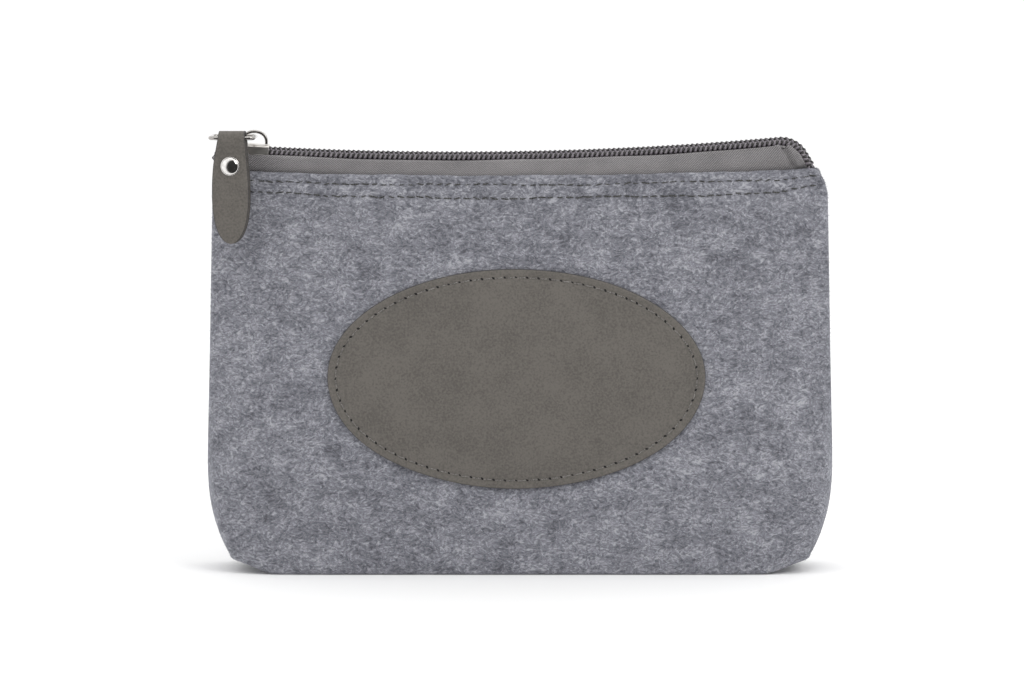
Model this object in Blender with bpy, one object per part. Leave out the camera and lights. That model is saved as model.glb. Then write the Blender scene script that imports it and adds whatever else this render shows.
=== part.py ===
"""Soft felt pouch with boxed corners, a coil zip along the top and a riveted strap as its pull.

Frame: +Z up, +X to the right, the front faces -Y. The origin is on the ground under the middle of
the base. All lengths are in metres.
"""

import math

import bmesh
import bpy
import numpy as np
from mathutils import Matrix, Vector

# ---- general clearances
GAP = 0.0003            # between pieces that touch
SEAM_GAP = 0.0003       # between the two felt panels along their seams

# ---- felt body
BODY_WIDTH = 0.2016     # widest, a third of the way up
BASE_INSET = 0.0079     # how much narrower each side is at the boxed corners
BASE_WIDTH = BODY_WIDTH - 2 * BASE_INSET
WAIST_HEIGHT = 0.038    # height of the widest place
BODY_HEIGHT = 0.1274    # lowest point of the felt's top edge
BASE_DEPTH = 0.0320     # front to back at the base
MOUTH_DEPTH = 0.0146    # front to back at the top edge, over both panels
FELT_THICKNESS = 0.0020
PROFILE_LEAN = 1.4      # above 1, the faces lean in sooner above the base
SEAM_ROUND = 0.0029     # outer radius of a panel where it turns into a side seam
SIDE_CURVE = 2.8        # how late the sides turn in towards the base
SIDE_TAPER = 0.0019     # how much narrower each side is at the top than at the waist
TAPER_CURVE = 1.3
RIGHT_TUCK = 0.0039     # how far the right seam is drawn in over its last stretch
LEFT_TUCK = 0.0004
TUCK_HEIGHT = 0.0105    # that last stretch
TUCK_CURVE = 1.5
TUCK_ABOVE_EDGE = 0.0022    # where the tuck is whole, over BODY_HEIGHT
SECTION_FULLNESS = 2.3  # how full a level section stays towards the side seams, at the top edge
BASE_FULLNESS = 7.0     # added to that at the base
BASE_SQUARENESS = 5.0   # how square the section's corners are at the base
SECTION_SAMPLES = 400
BASE_ROUND = 0.0016     # radius between the faces and the base
BASE_LIFT = 0.0040      # how far the boxed corners stand off the ground
CORNER_LIFT_LENGTH = 0.0155     # of the base at each end that curls up
FLAT_BASE_WIDTH = BASE_WIDTH - 2 * CORNER_LIFT_LENGTH
EDGE_SAG = 0.18         # curvature of the felt's top edge, per metre
SAG_CENTRE = -0.012     # where the top edge is lowest
PANEL_COLUMNS = 26
PANEL_ROWS = 13
ROW_CROWDING = 1.35     # above 1, rows stand closer together towards the base
COLUMN_CROWDING = 1.6   # above 1, columns stand closer together towards the side seams

# ---- oval patch
PATCH_WIDTH = 0.1210
PATCH_HEIGHT = 0.0700
PATCH_CENTRE_X = -0.0013
PATCH_CENTRE_Z = 0.0630
PATCH_THICKNESS = 0.0012
PATCH_STITCH_INSET = 0.0030
PATCH_SIDES = 36
PATCH_RINGS = (1.0, 0.8, 0.55, 0.28)    # shares of its radius
PATCH_STITCH_SIDES = 48

# ---- threads
THREAD_RADIUS = 0.0003
TOPSTITCH_UPPER = 0.0027    # below the felt's edge
TOPSTITCH_LOWER = 0.0069
TOPSTITCH_INSET = 0.0040    # short of the side seams
SEAM_THREAD_RADIUS = 0.00035
SEAM_THREAD_INSET = 0.0029  # side seam thread, in from where a panel turns into the seam
BOTTOM_THREAD_INSET = 0.0060    # ends of the bottom seam thread, in from the base's ends
CORNER_THREAD_INSET = 0.0035    # corner seam threads, in from the base's ends
CORNER_THREAD_END = 0.0040      # and their ends, in from the faces

# ---- zip
CHAIN_ABOVE_EDGE = 0.00617  # chain's centre over the felt's edge, where both are lowest
CHAIN_HEIGHT = BODY_HEIGHT + CHAIN_ABOVE_EDGE
CHAIN_RADIUS = 1.14         # the chain hangs in a shallow arc
CHAIN_CENTRE = -0.020       # where the chain is lowest
CHAIN_TILT = math.radians(2)
COIL_RADIUS = 0.0009
COIL_SPACING = 0.0035       # between the middles of the two coils
LEFT_BEND_INSET = 0.0081    # ends of the shallow arc, in from the widest places
RIGHT_BEND_INSET = 0.0176
CHAIN_LEFT = LEFT_BEND_INSET - BODY_WIDTH / 2
CHAIN_RIGHT = BODY_WIDTH / 2 - RIGHT_BEND_INSET
LEFT_BEND_RADIUS = 0.0050
LEFT_BEND = math.radians(70)
LEFT_TAIL = 0.0020
RIGHT_BEND_RADIUS = 0.0083
RIGHT_BEND = math.radians(55)
RIGHT_TAIL = 0.0020
TAPE_THICKNESS = 0.0005
TAPE_INNER = 0.0008         # tape's edge under the coil, from the chain's middle
TAPE_SHOULDER = 0.0038      # where the tape turns down
TAPE_BELOW_EDGE = 0.0090    # tape hidden behind the felt
TAPE_EDGE_ROW = -0.0002     # a row of it just over the felt's edge
TAPE_END_INSET = 0.0022     # its hidden part's ends, in from the felt's inner faces
TAPE_SHOULDER_ROUND = 0.0006    # along the chain, and
TAPE_SHOULDER_DROP = 0.0005     # down, where it turns

# ---- slider
SLIDER_FROM_BEND = 0.0063   # slider's middle, right of the left bend
SLIDER_X = CHAIN_LEFT + SLIDER_FROM_BEND
SLIDER_LENGTH = 0.0117
PLATE_WIDTH = 0.0086
TOP_PLATE = 0.0007
FLANGE = 0.0009
FLANGE_DROP = 0.0023
BOTTOM_PLATE = 0.0009
BOTTOM_WIDTH = 0.0042
WEDGE_WIDTH = 0.0007
SLIDER_BEVEL = 0.0004
BRIDGE_LENGTH = 0.0086
BRIDGE_HEIGHT = 0.0043
BRIDGE_WIDTH = 0.0024
BRIDGE_WALL = 0.0010
BRIDGE_SHIFT = 0.0011       # bridge's middle, right of the slider's

# ---- ring, strap and rivet
WIRE_RADIUS = 0.00065
RING_LENGTH = 0.0137        # along X, between wire centres
RING_FRONT = 0.0112         # front bar's centre, in front of the chain's middle
RING_BACK = 0.0024          # back bar's centre, behind the chain's middle
RING_CORNER = 0.0015
RING_SHIFT = 0.0001         # the ring's bar stands this far right of the bridge's middle
RING_IN_HOLE = 0.0022       # its height above the bridge's feet
STRAP_THICKNESS = 0.0012
STRAP_LENGTH = 0.0360       # from the fold's top to the tip
STRAP_TOP_WIDTH = 0.0081
STRAP_FLARE = 1.05          # below 1, the strap widens faster just under its fold
STRAP_WIDTH = 0.0118        # at its widest
STRAP_WIDEST = 0.54         # how far down it is widest, as a share of its length
STRAP_LAYER_GAP = 0.0003
STRAP_FOLD_GAP = 0.0005     # round the ring's wire
STRAP_SHIFT = 0.0058        # strap's middle, left of the slider's
STRAP_CENTRE_X = SLIDER_X - STRAP_SHIFT
RIVET_DROP = 0.0112         # rivet's centre, below the fold's top
RIVET_CAP_RADIUS = 0.00305
RIVET_CAP_HEIGHT = 0.0015
RIVET_SHANK_RADIUS = 0.0009
RIVET_BASE_RADIUS = 0.0026
RIVET_BASE_HEIGHT = 0.0006
RIVET_RIM = 0.0003          # straight rim under the cap's dome

FELT_COLOUR = (0.21, 0.215, 0.235)
LEATHERETTE_COLOUR = (0.145, 0.133, 0.120)
TAPE_COLOUR = (0.23, 0.22, 0.22)
COIL_COLOUR = (0.10, 0.09, 0.10)
THREAD_COLOUR = (0.07, 0.07, 0.065)
STEEL_COLOUR = (0.62, 0.60, 0.57)


# ---------------------------------------------------------------- helpers

def clear_scene():
    for item in list(bpy.data.objects):
        bpy.data.objects.remove(item, do_unlink=True)


def material(name, colour, roughness, metallic=0.0):
    made = bpy.data.materials.new(name)
    made.use_nodes = True
    shader = made.node_tree.nodes["Principled BSDF"]
    shader.inputs["Base Color"].default_value = (*colour, 1.0)
    shader.inputs["Roughness"].default_value = roughness
    shader.inputs["Metallic"].default_value = metallic
    return made


def smooth_step(t):
    t = min(max(t, 0.0), 1.0)
    return t * t * (3.0 - 2.0 * t)


def add_object(name, data, finish, parent=None):
    """Link an object whose data is in world space, keeping its place under a parent empty."""
    item = bpy.data.objects.new(name, data)
    bpy.context.collection.objects.link(item)
    data.materials.append(finish)
    if parent is not None:
        item.parent = parent
        item.matrix_parent_inverse = parent.matrix_world.inverted()
    return item


def mesh_object(name, points, faces, finish, parent=None, smooth=True):
    mesh = bpy.data.meshes.new(name)
    mesh.from_pydata([tuple(p) for p in points], [], faces)
    work = bmesh.new()
    work.from_mesh(mesh)
    bmesh.ops.recalc_face_normals(work, faces=work.faces)
    work.to_mesh(mesh)
    work.free()
    if smooth:
        mesh.shade_smooth()
        mesh.set_sharp_from_angle(angle=math.radians(40))
    return add_object(name, mesh, finish, parent)


def grid_faces(rows, columns, first=0):
    return [
        (a, a + 1, a + columns + 1, a + columns)
        for r in range(rows - 1)
        for a in range(first + r * columns, first + r * columns + columns - 1)
    ]


def slab(name, front, back, finish, parent=None):
    """A closed solid between two grids of points with the same rows and columns."""
    rows, columns = len(front), len(front[0])
    count = rows * columns
    faces = grid_faces(rows, columns) + grid_faces(rows, columns, count)
    border = [(0, c) for c in range(columns)]
    border += [(r, columns - 1) for r in range(1, rows)]
    border += [(rows - 1, c) for c in range(columns - 2, -1, -1)]
    border += [(r, 0) for r in range(rows - 2, 0, -1)]
    ring = [r * columns + c for r, c in border]
    for a, b in zip(ring, ring[1:] + ring[:1]):
        faces.append((a, b, b + count, a + count))
    points = [p for grid in (front, back) for row in grid for p in row]
    return mesh_object(name, points, faces, finish, parent)


def grid_normals(grid):
    """Unit normals of a grid of points, from the directions of its rows and columns."""
    along = np.gradient(grid, axis=1)
    across = np.gradient(grid, axis=0)
    normals = np.cross(along, across)
    lengths = np.linalg.norm(normals, axis=2, keepdims=True)
    return normals / np.maximum(lengths, 1e-15)


def tube(name, points, radius, finish, parent=None, closed=False, resolution=0):
    """A thin round bar along a line of points: a bevelled curve with filled caps."""
    data = bpy.data.curves.new(name, "CURVE")
    data.dimensions = "3D"
    data.bevel_depth = radius
    data.bevel_resolution = resolution
    data.use_fill_caps = True
    spline = data.splines.new("POLY")
    spline.points.add(len(points) - 1)
    for place, point in zip(spline.points, points):
        place.co = (*point, 1.0)
    spline.use_cyclic_u = closed
    return add_object(name, data, finish, parent)


def prism(name, outline, place, length, finish, parent=None):
    """Extrude a closed (u, v) outline both ways along w; place(w, u, v) gives world points."""
    count = len(outline)
    points = [place(w, u, v) for w in (-length / 2, length / 2) for u, v in outline]
    faces = [tuple(range(count)), tuple(range(count, 2 * count))]
    faces += [(i, (i + 1) % count, (i + 1) % count + count, i + count) for i in range(count)]
    return mesh_object(name, points, faces, finish, parent, smooth=False)


# ---------------------------------------------------------------- shape of the felt body

def felt_top(x):
    """Height of the felt's top edge."""
    return BODY_HEIGHT + EDGE_SAG * (x - SAG_CENTRE) ** 2


def half_width(level, right):
    """Distance from the middle to a side seam at a level, whose seam ends stand higher near the base."""
    widest = BODY_WIDTH / 2
    z = level + BASE_LIFT * (1.0 - level / BODY_HEIGHT)
    if z < WAIST_HEIGHT:
        below = (WAIST_HEIGHT - z) / (WAIST_HEIGHT - BASE_LIFT)
        return widest - BASE_INSET * below ** SIDE_CURVE
    above = (z - WAIST_HEIGHT) / (BODY_HEIGHT - WAIST_HEIGHT)
    tuck = RIGHT_TUCK if right else LEFT_TUCK
    start = BODY_HEIGHT + TUCK_ABOVE_EDGE - TUCK_HEIGHT
    tucked = tuck * max(0.0, (z - start) / TUCK_HEIGHT) ** TUCK_CURVE
    return widest - SIDE_TAPER * above ** TAPER_CURVE - tucked


def half_depth(z):
    """Distance from the middle plane to a panel's outer face at height z, at the middle."""
    share = min(max(z / BODY_HEIGHT, 0.0), 1.0)
    bulge = max(math.cos(math.pi / 2 * share), 0.0) ** PROFILE_LEAN
    return MOUTH_DEPTH / 2 + (BASE_DEPTH - MOUTH_DEPTH) / 2 * bulge


def section_depth(x, z, width, depth):
    """Outer face's distance from the middle plane at x, on the level section at height z."""
    share = min(max(z / BODY_HEIGHT, 0.0), 1.0)
    along = SECTION_FULLNESS + BASE_FULLNESS * (1.0 - share) ** 3
    down = 1.0 + BASE_SQUARENESS * (1.0 - share) ** 4
    u = min(abs(x) / width, 1.0)
    into_round = (abs(x) - (width - SEAM_ROUND)) / SEAM_ROUND
    end = math.sqrt(max(0.0, 1.0 - max(into_round, 0.0) ** 2)) * SEAM_ROUND
    return end + (depth - SEAM_ROUND) * (1.0 - u ** along) ** (1.0 / down)


def face_depth(x, z):
    return section_depth(x, z, half_width(z, x > 0), half_depth(z))


def ground_lift(x):
    """The boxed corners curl up off the ground."""
    flat = FLAT_BASE_WIDTH / 2
    return BASE_LIFT * smooth_step((abs(x) - flat) / (BASE_WIDTH / 2 - flat))


def column_fractions():
    """Where a panel's columns lie along its outline, closer together towards the side seams."""
    half = PANEL_COLUMNS // 2
    ends = [0.5 * (k / half) ** COLUMN_CROWDING for k in range(half + 1)]
    return ends + [1.0 - e for e in reversed(ends[:-1])]


def level_section(z):
    """Points of a panel's outer outline at height z, from the left seam to the right seam."""
    dense = []
    for step in range(-SECTION_SAMPLES, SECTION_SAMPLES + 1):
        turn = math.pi / 2 * step / SECTION_SAMPLES
        width = half_width(z, step > 0)
        x = math.sin(turn) * width
        dense.append((x, -SEAM_GAP / 2 - section_depth(x, z, width, half_depth(z))))
    dense = np.array(dense)
    run = np.concatenate([[0.0], np.cumsum(np.linalg.norm(np.diff(dense, axis=0), axis=1))])
    wanted = [fraction * run[-1] for fraction in column_fractions()]
    return [(np.interp(w, run, dense[:, 0]), np.interp(w, run, dense[:, 1])) for w in wanted]


def panel_grid():
    """Outer face of the front panel: rows from the top edge down, under, and to the base's middle."""
    rows = []
    start = BASE_ROUND
    for step in range(PANEL_ROWS):
        share = (1.0 - step / (PANEL_ROWS - 1)) ** ROW_CROWDING
        level = start + (BODY_HEIGHT - start) * share
        row = []
        for x, y in level_section(level):
            low = start + ground_lift(x)
            row.append((x, y, low + (felt_top(x) - low) * share))
        rows.append(row)
    bottom = [(x, y) for x, y in level_section(start)]
    for turn in (math.radians(45), math.radians(90)):
        inset = BASE_ROUND * (1.0 - math.cos(turn))
        row = []
        for x, y in bottom:
            shrunk = x * (1.0 - inset / (BASE_WIDTH / 2))
            flatter = (y + SEAM_GAP / 2) * (1.0 - inset / (BASE_DEPTH / 2)) - SEAM_GAP / 2
            row.append((shrunk, flatter, BASE_ROUND * (1.0 - math.sin(turn)) + ground_lift(shrunk)))
        rows.append(row)
    edge = rows[-1]
    reach = edge[-1][0] - BASE_ROUND
    for share in (0.66, 0.33, 0.0):
        row = []
        for (x, y, _), fraction in zip(edge, column_fractions()):
            across = x * share + reach * (2.0 * fraction - 1.0) * (1.0 - share)
            row.append((across, (y + SEAM_GAP / 2) * share - SEAM_GAP / 2, ground_lift(across)))
        rows.append(row)
    return np.array(rows)


def felt_panel(name, side, finish):
    """side is 1 for the front panel and -1 for its mirror at the back."""
    outer = panel_grid()
    normals = grid_normals(outer)
    if normals[PANEL_ROWS // 2, PANEL_COLUMNS // 2, 1] > 0:
        normals = -normals
    normals[-1] = normals[-2]
    for border in (normals[:, 0], normals[:, -1], normals[-1]):
        border[:, 1] = 0.0
        border /= np.linalg.norm(border, axis=1, keepdims=True)
    inner = outer - normals * FELT_THICKNESS
    inner[..., 1] = np.minimum(inner[..., 1], -SEAM_GAP / 2)
    mirror = np.array([1.0, side, 1.0])
    return slab(name, outer * mirror, inner * mirror, finish)


# ---------------------------------------------------------------- patch and threads

def patch_point(radius_share, turn, stand_off, inset=0.0):
    x = PATCH_CENTRE_X + (PATCH_WIDTH / 2 - inset) * radius_share * math.cos(turn)
    z = PATCH_CENTRE_Z + (PATCH_HEIGHT / 2 - inset) * radius_share * math.sin(turn)
    return (x, -SEAM_GAP / 2 - face_depth(x, z) - stand_off, z)


def oval_patch(finish):
    around = PATCH_SIDES
    points, faces = [], []
    for stand_off in (GAP, GAP + PATCH_THICKNESS):
        for share in PATCH_RINGS:
            for k in range(around):
                points.append(patch_point(share, 2 * math.pi * k / around, stand_off))
        points.append(patch_point(0.0, 0.0, stand_off))
    layer = len(PATCH_RINGS) * around + 1
    for first in (0, layer):
        for ring in range(len(PATCH_RINGS) - 1):
            for k in range(around):
                a = first + ring * around + k
                b = first + ring * around + (k + 1) % around
                faces.append((a, b, b + around, a + around))
        last = first + (len(PATCH_RINGS) - 1) * around
        for k in range(around):
            faces.append((last + k, last + (k + 1) % around, first + layer - 1))
    for k in range(around):
        following = (k + 1) % around
        faces.append((k, following, following + layer, k + layer))
    mesh_object("oval_patch", points, faces, finish)


def patch_stitching(finish):
    stand_off = 2 * GAP + PATCH_THICKNESS + THREAD_RADIUS
    points = []
    for k in range(PATCH_STITCH_SIDES):
        turn = 2 * math.pi * k / PATCH_STITCH_SIDES
        points.append(patch_point(1.0, turn, stand_off, PATCH_STITCH_INSET))
    tube("patch_stitching", points, THREAD_RADIUS, finish, closed=True)


def topstitch(name, below_edge, side, finish):
    left = -half_width(BODY_HEIGHT - below_edge, False) + TOPSTITCH_INSET
    right = half_width(BODY_HEIGHT - below_edge, True) - TOPSTITCH_INSET
    points = []
    for x in np.linspace(left, right, 30):
        z = felt_top(x) - below_edge
        level = BODY_HEIGHT - below_edge
        depth = section_depth(x, level, half_width(level, x > 0), half_depth(level))
        y = -(SEAM_GAP / 2 + depth + GAP + THREAD_RADIUS)
        points.append((x, y * side, z))
    tube(name, points, THREAD_RADIUS, finish)


def side_seam_thread(name, right, finish):
    sign = 1.0 if right else -1.0
    inside = SEAM_ROUND + SEAM_THREAD_INSET
    low = BASE_LIFT + BASE_ROUND + 2 * FELT_THICKNESS
    points = []
    for z in np.linspace(low, BODY_HEIGHT - TAPE_BELOW_EDGE - FELT_THICKNESS, 16):
        points.append((sign * (half_width(z, right) - inside), 0.0, z))
    tube(name, points, SEAM_THREAD_RADIUS, finish)


def bottom_seam_thread(finish):
    reach = BASE_WIDTH / 2 - BASE_ROUND - FELT_THICKNESS - BOTTOM_THREAD_INSET
    lifted = FELT_THICKNESS + 2 * GAP + SEAM_THREAD_RADIUS
    points = []
    for x in np.linspace(-reach, reach, 30):
        points.append((x, 0.0, ground_lift(x) + lifted))
    tube("bottom_seam_thread", points, SEAM_THREAD_RADIUS, finish)


def corner_seam_thread(name, right, finish):
    sign = 1.0 if right else -1.0
    x = sign * (BASE_WIDTH / 2 - FELT_THICKNESS - CORNER_THREAD_INSET)
    reach = BASE_DEPTH / 2 - FELT_THICKNESS - CORNER_THREAD_END
    z = BASE_LIFT + FELT_THICKNESS + GAP + SEAM_THREAD_RADIUS
    points = [(x, y, z) for y in np.linspace(-reach, reach, 7)]
    tube(name, points, SEAM_THREAD_RADIUS, finish)


# ---------------------------------------------------------------- zip

def chain_slope(x):
    return math.asin((x - CHAIN_CENTRE) / CHAIN_RADIUS)


def chain_arc_point(x):
    rise = CHAIN_RADIUS * (1.0 - math.cos(chain_slope(x)))
    return (x, CHAIN_HEIGHT + rise)


def chain_path():
    """(x, z, slope) along the chain's middle line, from its left end to its right end."""
    path = []
    for x in np.linspace(CHAIN_LEFT, CHAIN_RIGHT, 16):
        path.append((*chain_arc_point(x), chain_slope(x)))
    path = bend(path[::-1], -1, LEFT_BEND, LEFT_BEND_RADIUS, LEFT_TAIL)[::-1]
    return bend(path, 1, RIGHT_BEND, RIGHT_BEND_RADIUS, RIGHT_TAIL)


def bend(path, way, turn, radius, tail):
    """Continue a path downwards round an arc and a short straight end; way is its X direction."""
    x, z, slope = path[-1]
    pieces = 4
    for k in range(1, pieces + 1):
        a = slope - way * turn * k / pieces
        dx = way * radius * (math.sin(way * slope) - math.sin(way * a))
        dz = radius * (math.cos(way * a) - math.cos(way * slope))
        path.append((x + dx, z + dz, a))
    x, z, slope = path[-1]
    path.append((x + way * tail * math.cos(slope), z + way * tail * math.sin(slope), slope))
    return path


def chain_frame(station):
    """World points from (along, across, up) at a place on the chain."""
    x, z, slope = station
    origin = Vector((x, 0.0, z))
    along = Vector((math.cos(slope), 0.0, math.sin(slope)))
    upright = Vector((-math.sin(slope), 0.0, math.cos(slope)))
    across = Vector((0.0, math.cos(CHAIN_TILT), 0.0)) + upright * math.sin(CHAIN_TILT)
    up = Vector((0.0, -math.sin(CHAIN_TILT), 0.0)) + upright * math.cos(CHAIN_TILT)

    def place(a, b, c):
        return origin + along * a + across * b + up * c

    return place


def zipper_coil(name, side, finish, parent):
    points = [chain_frame(s)(0.0, -side * COIL_SPACING / 2, 0.0) for s in chain_path()]
    tube(name, points, COIL_RADIUS, finish, parent, resolution=1)


def tape_depth(x, z):
    """Distance of the tape's outer face from the middle plane, behind the felt."""
    inner = face_depth(x, z) - FELT_THICKNESS - GAP
    return max(inner, GAP + TAPE_THICKNESS)


def zipper_tape(name, side, finish, parent):
    """Tape from under the coil, over its shoulder and down behind the felt."""
    stations = chain_path()
    lower_left = -half_width(BODY_HEIGHT, False) + FELT_THICKNESS + TAPE_END_INSET
    lower_right = half_width(BODY_HEIGHT, True) - FELT_THICKNESS - TAPE_END_INSET
    under = -COIL_RADIUS - GAP
    rows = [[] for _ in range(6)]
    for number, station in enumerate(stations):
        place = chain_frame(station)
        x = min(max(station[0], lower_left), lower_right)
        rows[0].append(place(0.0, -side * TAPE_INNER, under))
        rows[1].append(place(0.0, -side * (TAPE_SHOULDER - TAPE_SHOULDER_ROUND), under))
        rows[2].append(place(0.0, -side * TAPE_SHOULDER, under - TAPE_SHOULDER_DROP))
        for row, below in zip(rows[3:], (TAPE_EDGE_ROW, TAPE_BELOW_EDGE / 2, TAPE_BELOW_EDGE)):
            spread = lower_left + (lower_right - lower_left) * number / (len(stations) - 1)
            x = 0.5 * x + 0.5 * spread if number in (0, len(stations) - 1) else x
            y = -side * tape_depth(x, BODY_HEIGHT - below)
            row.append(Vector((x, y, felt_top(x) - below)))
    upper = np.array([[tuple(p) for p in row] for row in rows])
    normals = grid_normals(upper)
    if normals[0, len(stations) // 2, 2] < 0:
        normals = -normals
    slab(name, upper, upper - normals * TAPE_THICKNESS, finish, parent)


# ---------------------------------------------------------------- slider, ring, strap, rivet

def slider_place():
    return chain_frame((*chain_arc_point(SLIDER_X), chain_slope(SLIDER_X)))


def slider_body(finish, parent):
    """Top plate with side flanges, bottom plate and the wedge between them, as one cross-section."""
    place = slider_place()
    roof = COIL_RADIUS + GAP
    floor = -COIL_RADIUS - 2 * GAP - TAPE_THICKNESS
    half = PLATE_WIDTH / 2
    drop = roof - FLANGE_DROP
    corner = SLIDER_BEVEL
    right_side = [
        (WEDGE_WIDTH / 2, floor),
        (WEDGE_WIDTH / 2, roof),
        (half - FLANGE, roof),
        (half - FLANGE, drop),
        (half, drop),
        (half, roof + TOP_PLATE - corner),
        (half - corner, roof + TOP_PLATE),
    ]
    bottom = [
        (BOTTOM_WIDTH / 2 - corner, floor - BOTTOM_PLATE),
        (BOTTOM_WIDTH / 2, floor - BOTTOM_PLATE + corner),
        (BOTTOM_WIDTH / 2, floor),
    ]
    half_outline = bottom + right_side
    outline = half_outline + [(-u, v) for u, v in reversed(half_outline)]
    prism("slider_body", outline, lambda w, u, v: place(w, u, v), SLIDER_LENGTH, finish, parent)


def bridge_outline():
    """Arch in (along, up) with a hole for the ring, as one open loop of wall."""
    outer, inner = [], []
    steps = 8
    for k in range(steps + 1):
        turn = math.pi * k / steps
        outer.append((BRIDGE_LENGTH / 2 * math.cos(turn), BRIDGE_HEIGHT * math.sin(turn) ** 0.7))
        inner.append((
            (BRIDGE_LENGTH / 2 - BRIDGE_WALL) * math.cos(turn),
            (BRIDGE_HEIGHT - BRIDGE_WALL) * math.sin(turn) ** 0.7,
        ))
    return outer + inner[::-1]


def slider_bridge(finish, parent):
    place = slider_place()
    foot = COIL_RADIUS + 2 * GAP + TOP_PLATE
    prism(
        "slider_bridge",
        bridge_outline(),
        lambda w, u, v: place(u + BRIDGE_SHIFT, w, v + foot),
        BRIDGE_WIDTH,
        finish,
        parent,
    )


def ring_pivot():
    """Middle of the ring's bar in the bridge's hole."""
    foot = COIL_RADIUS + 2 * GAP + TOP_PLATE
    return slider_place()(BRIDGE_SHIFT + RING_SHIFT, 0.0, foot + RING_IN_HOLE)


def front_bar():
    """Middle of the ring's front bar, which the strap hangs on."""
    pivot = ring_pivot()
    return Vector((pivot.x - RING_LENGTH / 2, -RING_FRONT, pivot.z))


def pull_ring(finish, parent):
    pivot = ring_pivot()
    left, right = pivot.x - RING_LENGTH, pivot.x
    points = []
    corners = (
        (right, RING_BACK, 0.0),
        (left, RING_BACK, 90.0),
        (left, -RING_FRONT, 180.0),
        (right, -RING_FRONT, 270.0),
    )
    for x, y, first in corners:
        centre_x = x + (RING_CORNER if x == left else -RING_CORNER)
        centre_y = y - RING_CORNER if y == RING_BACK else y + RING_CORNER
        for k in range(5):
            turn = math.radians(first + 90.0 * k / 4)
            points.append((
                centre_x + RING_CORNER * math.cos(turn),
                centre_y + RING_CORNER * math.sin(turn),
                pivot.z,
            ))
    tube("pull_ring", points, WIRE_RADIUS, finish, parent, closed=True, resolution=1)


def strap_half_width(down):
    """Half the strap's width at a distance below the fold's top."""
    share = down / STRAP_LENGTH
    if share < STRAP_WIDEST:
        growth = math.sin(math.pi / 2 * (share / STRAP_WIDEST) ** STRAP_FLARE)
        return (STRAP_TOP_WIDTH + (STRAP_WIDTH - STRAP_TOP_WIDTH) * growth) / 2
    tail = min((share - STRAP_WIDEST) / (1.0 - STRAP_WIDEST), 1.0)
    return max(STRAP_WIDTH / 2 * math.sqrt(1.0 - tail ** 2.6), 0.0008)


def strap_midline():
    """(y, z) along the strap's thickness middle: up the back layer, over the bar, down the front."""
    bar = front_bar()
    fold = WIRE_RADIUS + STRAP_FOLD_GAP + STRAP_THICKNESS / 2
    layer = (STRAP_THICKNESS + STRAP_LAYER_GAP) / 2
    top = bar.z + fold + STRAP_THICKNESS / 2
    tip = top - STRAP_LENGTH
    neck = bar.z - 3.0 * fold
    downs = [tip + (neck - tip) * s for s in (0.0, 0.012, 0.04, 0.09, 0.16, 0.26, 0.4, 0.6, 0.8, 1.0)]
    back = [(bar.y + layer, z) for z in downs]
    over = []
    for k in range(9):
        turn = math.radians(-25.0 + 230.0 * k / 8)
        over.append((bar.y + fold * math.cos(turn), bar.z + fold * math.sin(turn)))
    front = [(bar.y - layer, z) for z in reversed(downs)]
    return back + over + front, top


def pull_strap(finish, parent):
    bar = front_bar()
    line, top = strap_midline()
    line = np.array(line)
    tangent = np.gradient(line, axis=0)
    tangent /= np.linalg.norm(tangent, axis=1, keepdims=True)
    normal = np.stack([tangent[:, 1], -tangent[:, 0]], axis=1)
    faces_of = []
    for side in (0.5, -0.5):
        grid = []
        for (y, z), (ny, nz) in zip(line, normal):
            half = strap_half_width(top - z)
            py = y + side * STRAP_THICKNESS * ny
            pz = z + side * STRAP_THICKNESS * nz
            grid.append([(STRAP_CENTRE_X - half, py, pz), (STRAP_CENTRE_X + half, py, pz)])
        faces_of.append(grid)
    strap = slab("pull_strap", faces_of[0], faces_of[1], finish, parent)
    centre = Vector((STRAP_CENTRE_X, bar.y, top - RIVET_DROP))
    hole = bpy.data.objects.new("rivet_hole_cutter", bpy.data.meshes.new("rivet_hole_cutter"))
    bpy.context.collection.objects.link(hole)
    work = bmesh.new()
    spin = Matrix.Translation(centre) @ Matrix.Rotation(math.pi / 2, 4, "X")
    radius = RIVET_SHANK_RADIUS + GAP
    bmesh.ops.create_cone(
        work, cap_ends=True, segments=16, radius1=radius, radius2=radius,
        depth=4 * (STRAP_THICKNESS + STRAP_LAYER_GAP), matrix=spin,
    )
    work.to_mesh(hole.data)
    work.free()
    hole.display_type = "WIRE"
    hole.hide_render = True
    cut = strap.modifiers.new("rivet_hole", "BOOLEAN")
    cut.operation = "DIFFERENCE"
    cut.object = hole
    return centre


def turned(name, profile, centre, finish, parent):
    """Turn a (radius, y) profile about the Y axis through a centre; both ends lie on the axis."""
    around = 20
    points, faces = [], []
    inner = profile[1:-1]
    for radius, y in inner:
        for k in range(around):
            turn = 2 * math.pi * k / around
            points.append(centre + Vector((radius * math.cos(turn), y, radius * math.sin(turn))))
    for ring in range(len(inner) - 1):
        for k in range(around):
            a, b = ring * around + k, ring * around + (k + 1) % around
            faces.append((a, b, b + around, a + around))
    for (_, y), first in ((profile[0], 0), (profile[-1], (len(inner) - 1) * around)):
        points.append(centre + Vector((0.0, y, 0.0)))
        tip = len(points) - 1
        for k in range(around):
            faces.append((first + k, first + (k + 1) % around, tip))
    mesh_object(name, points, faces, finish, parent)


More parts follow.
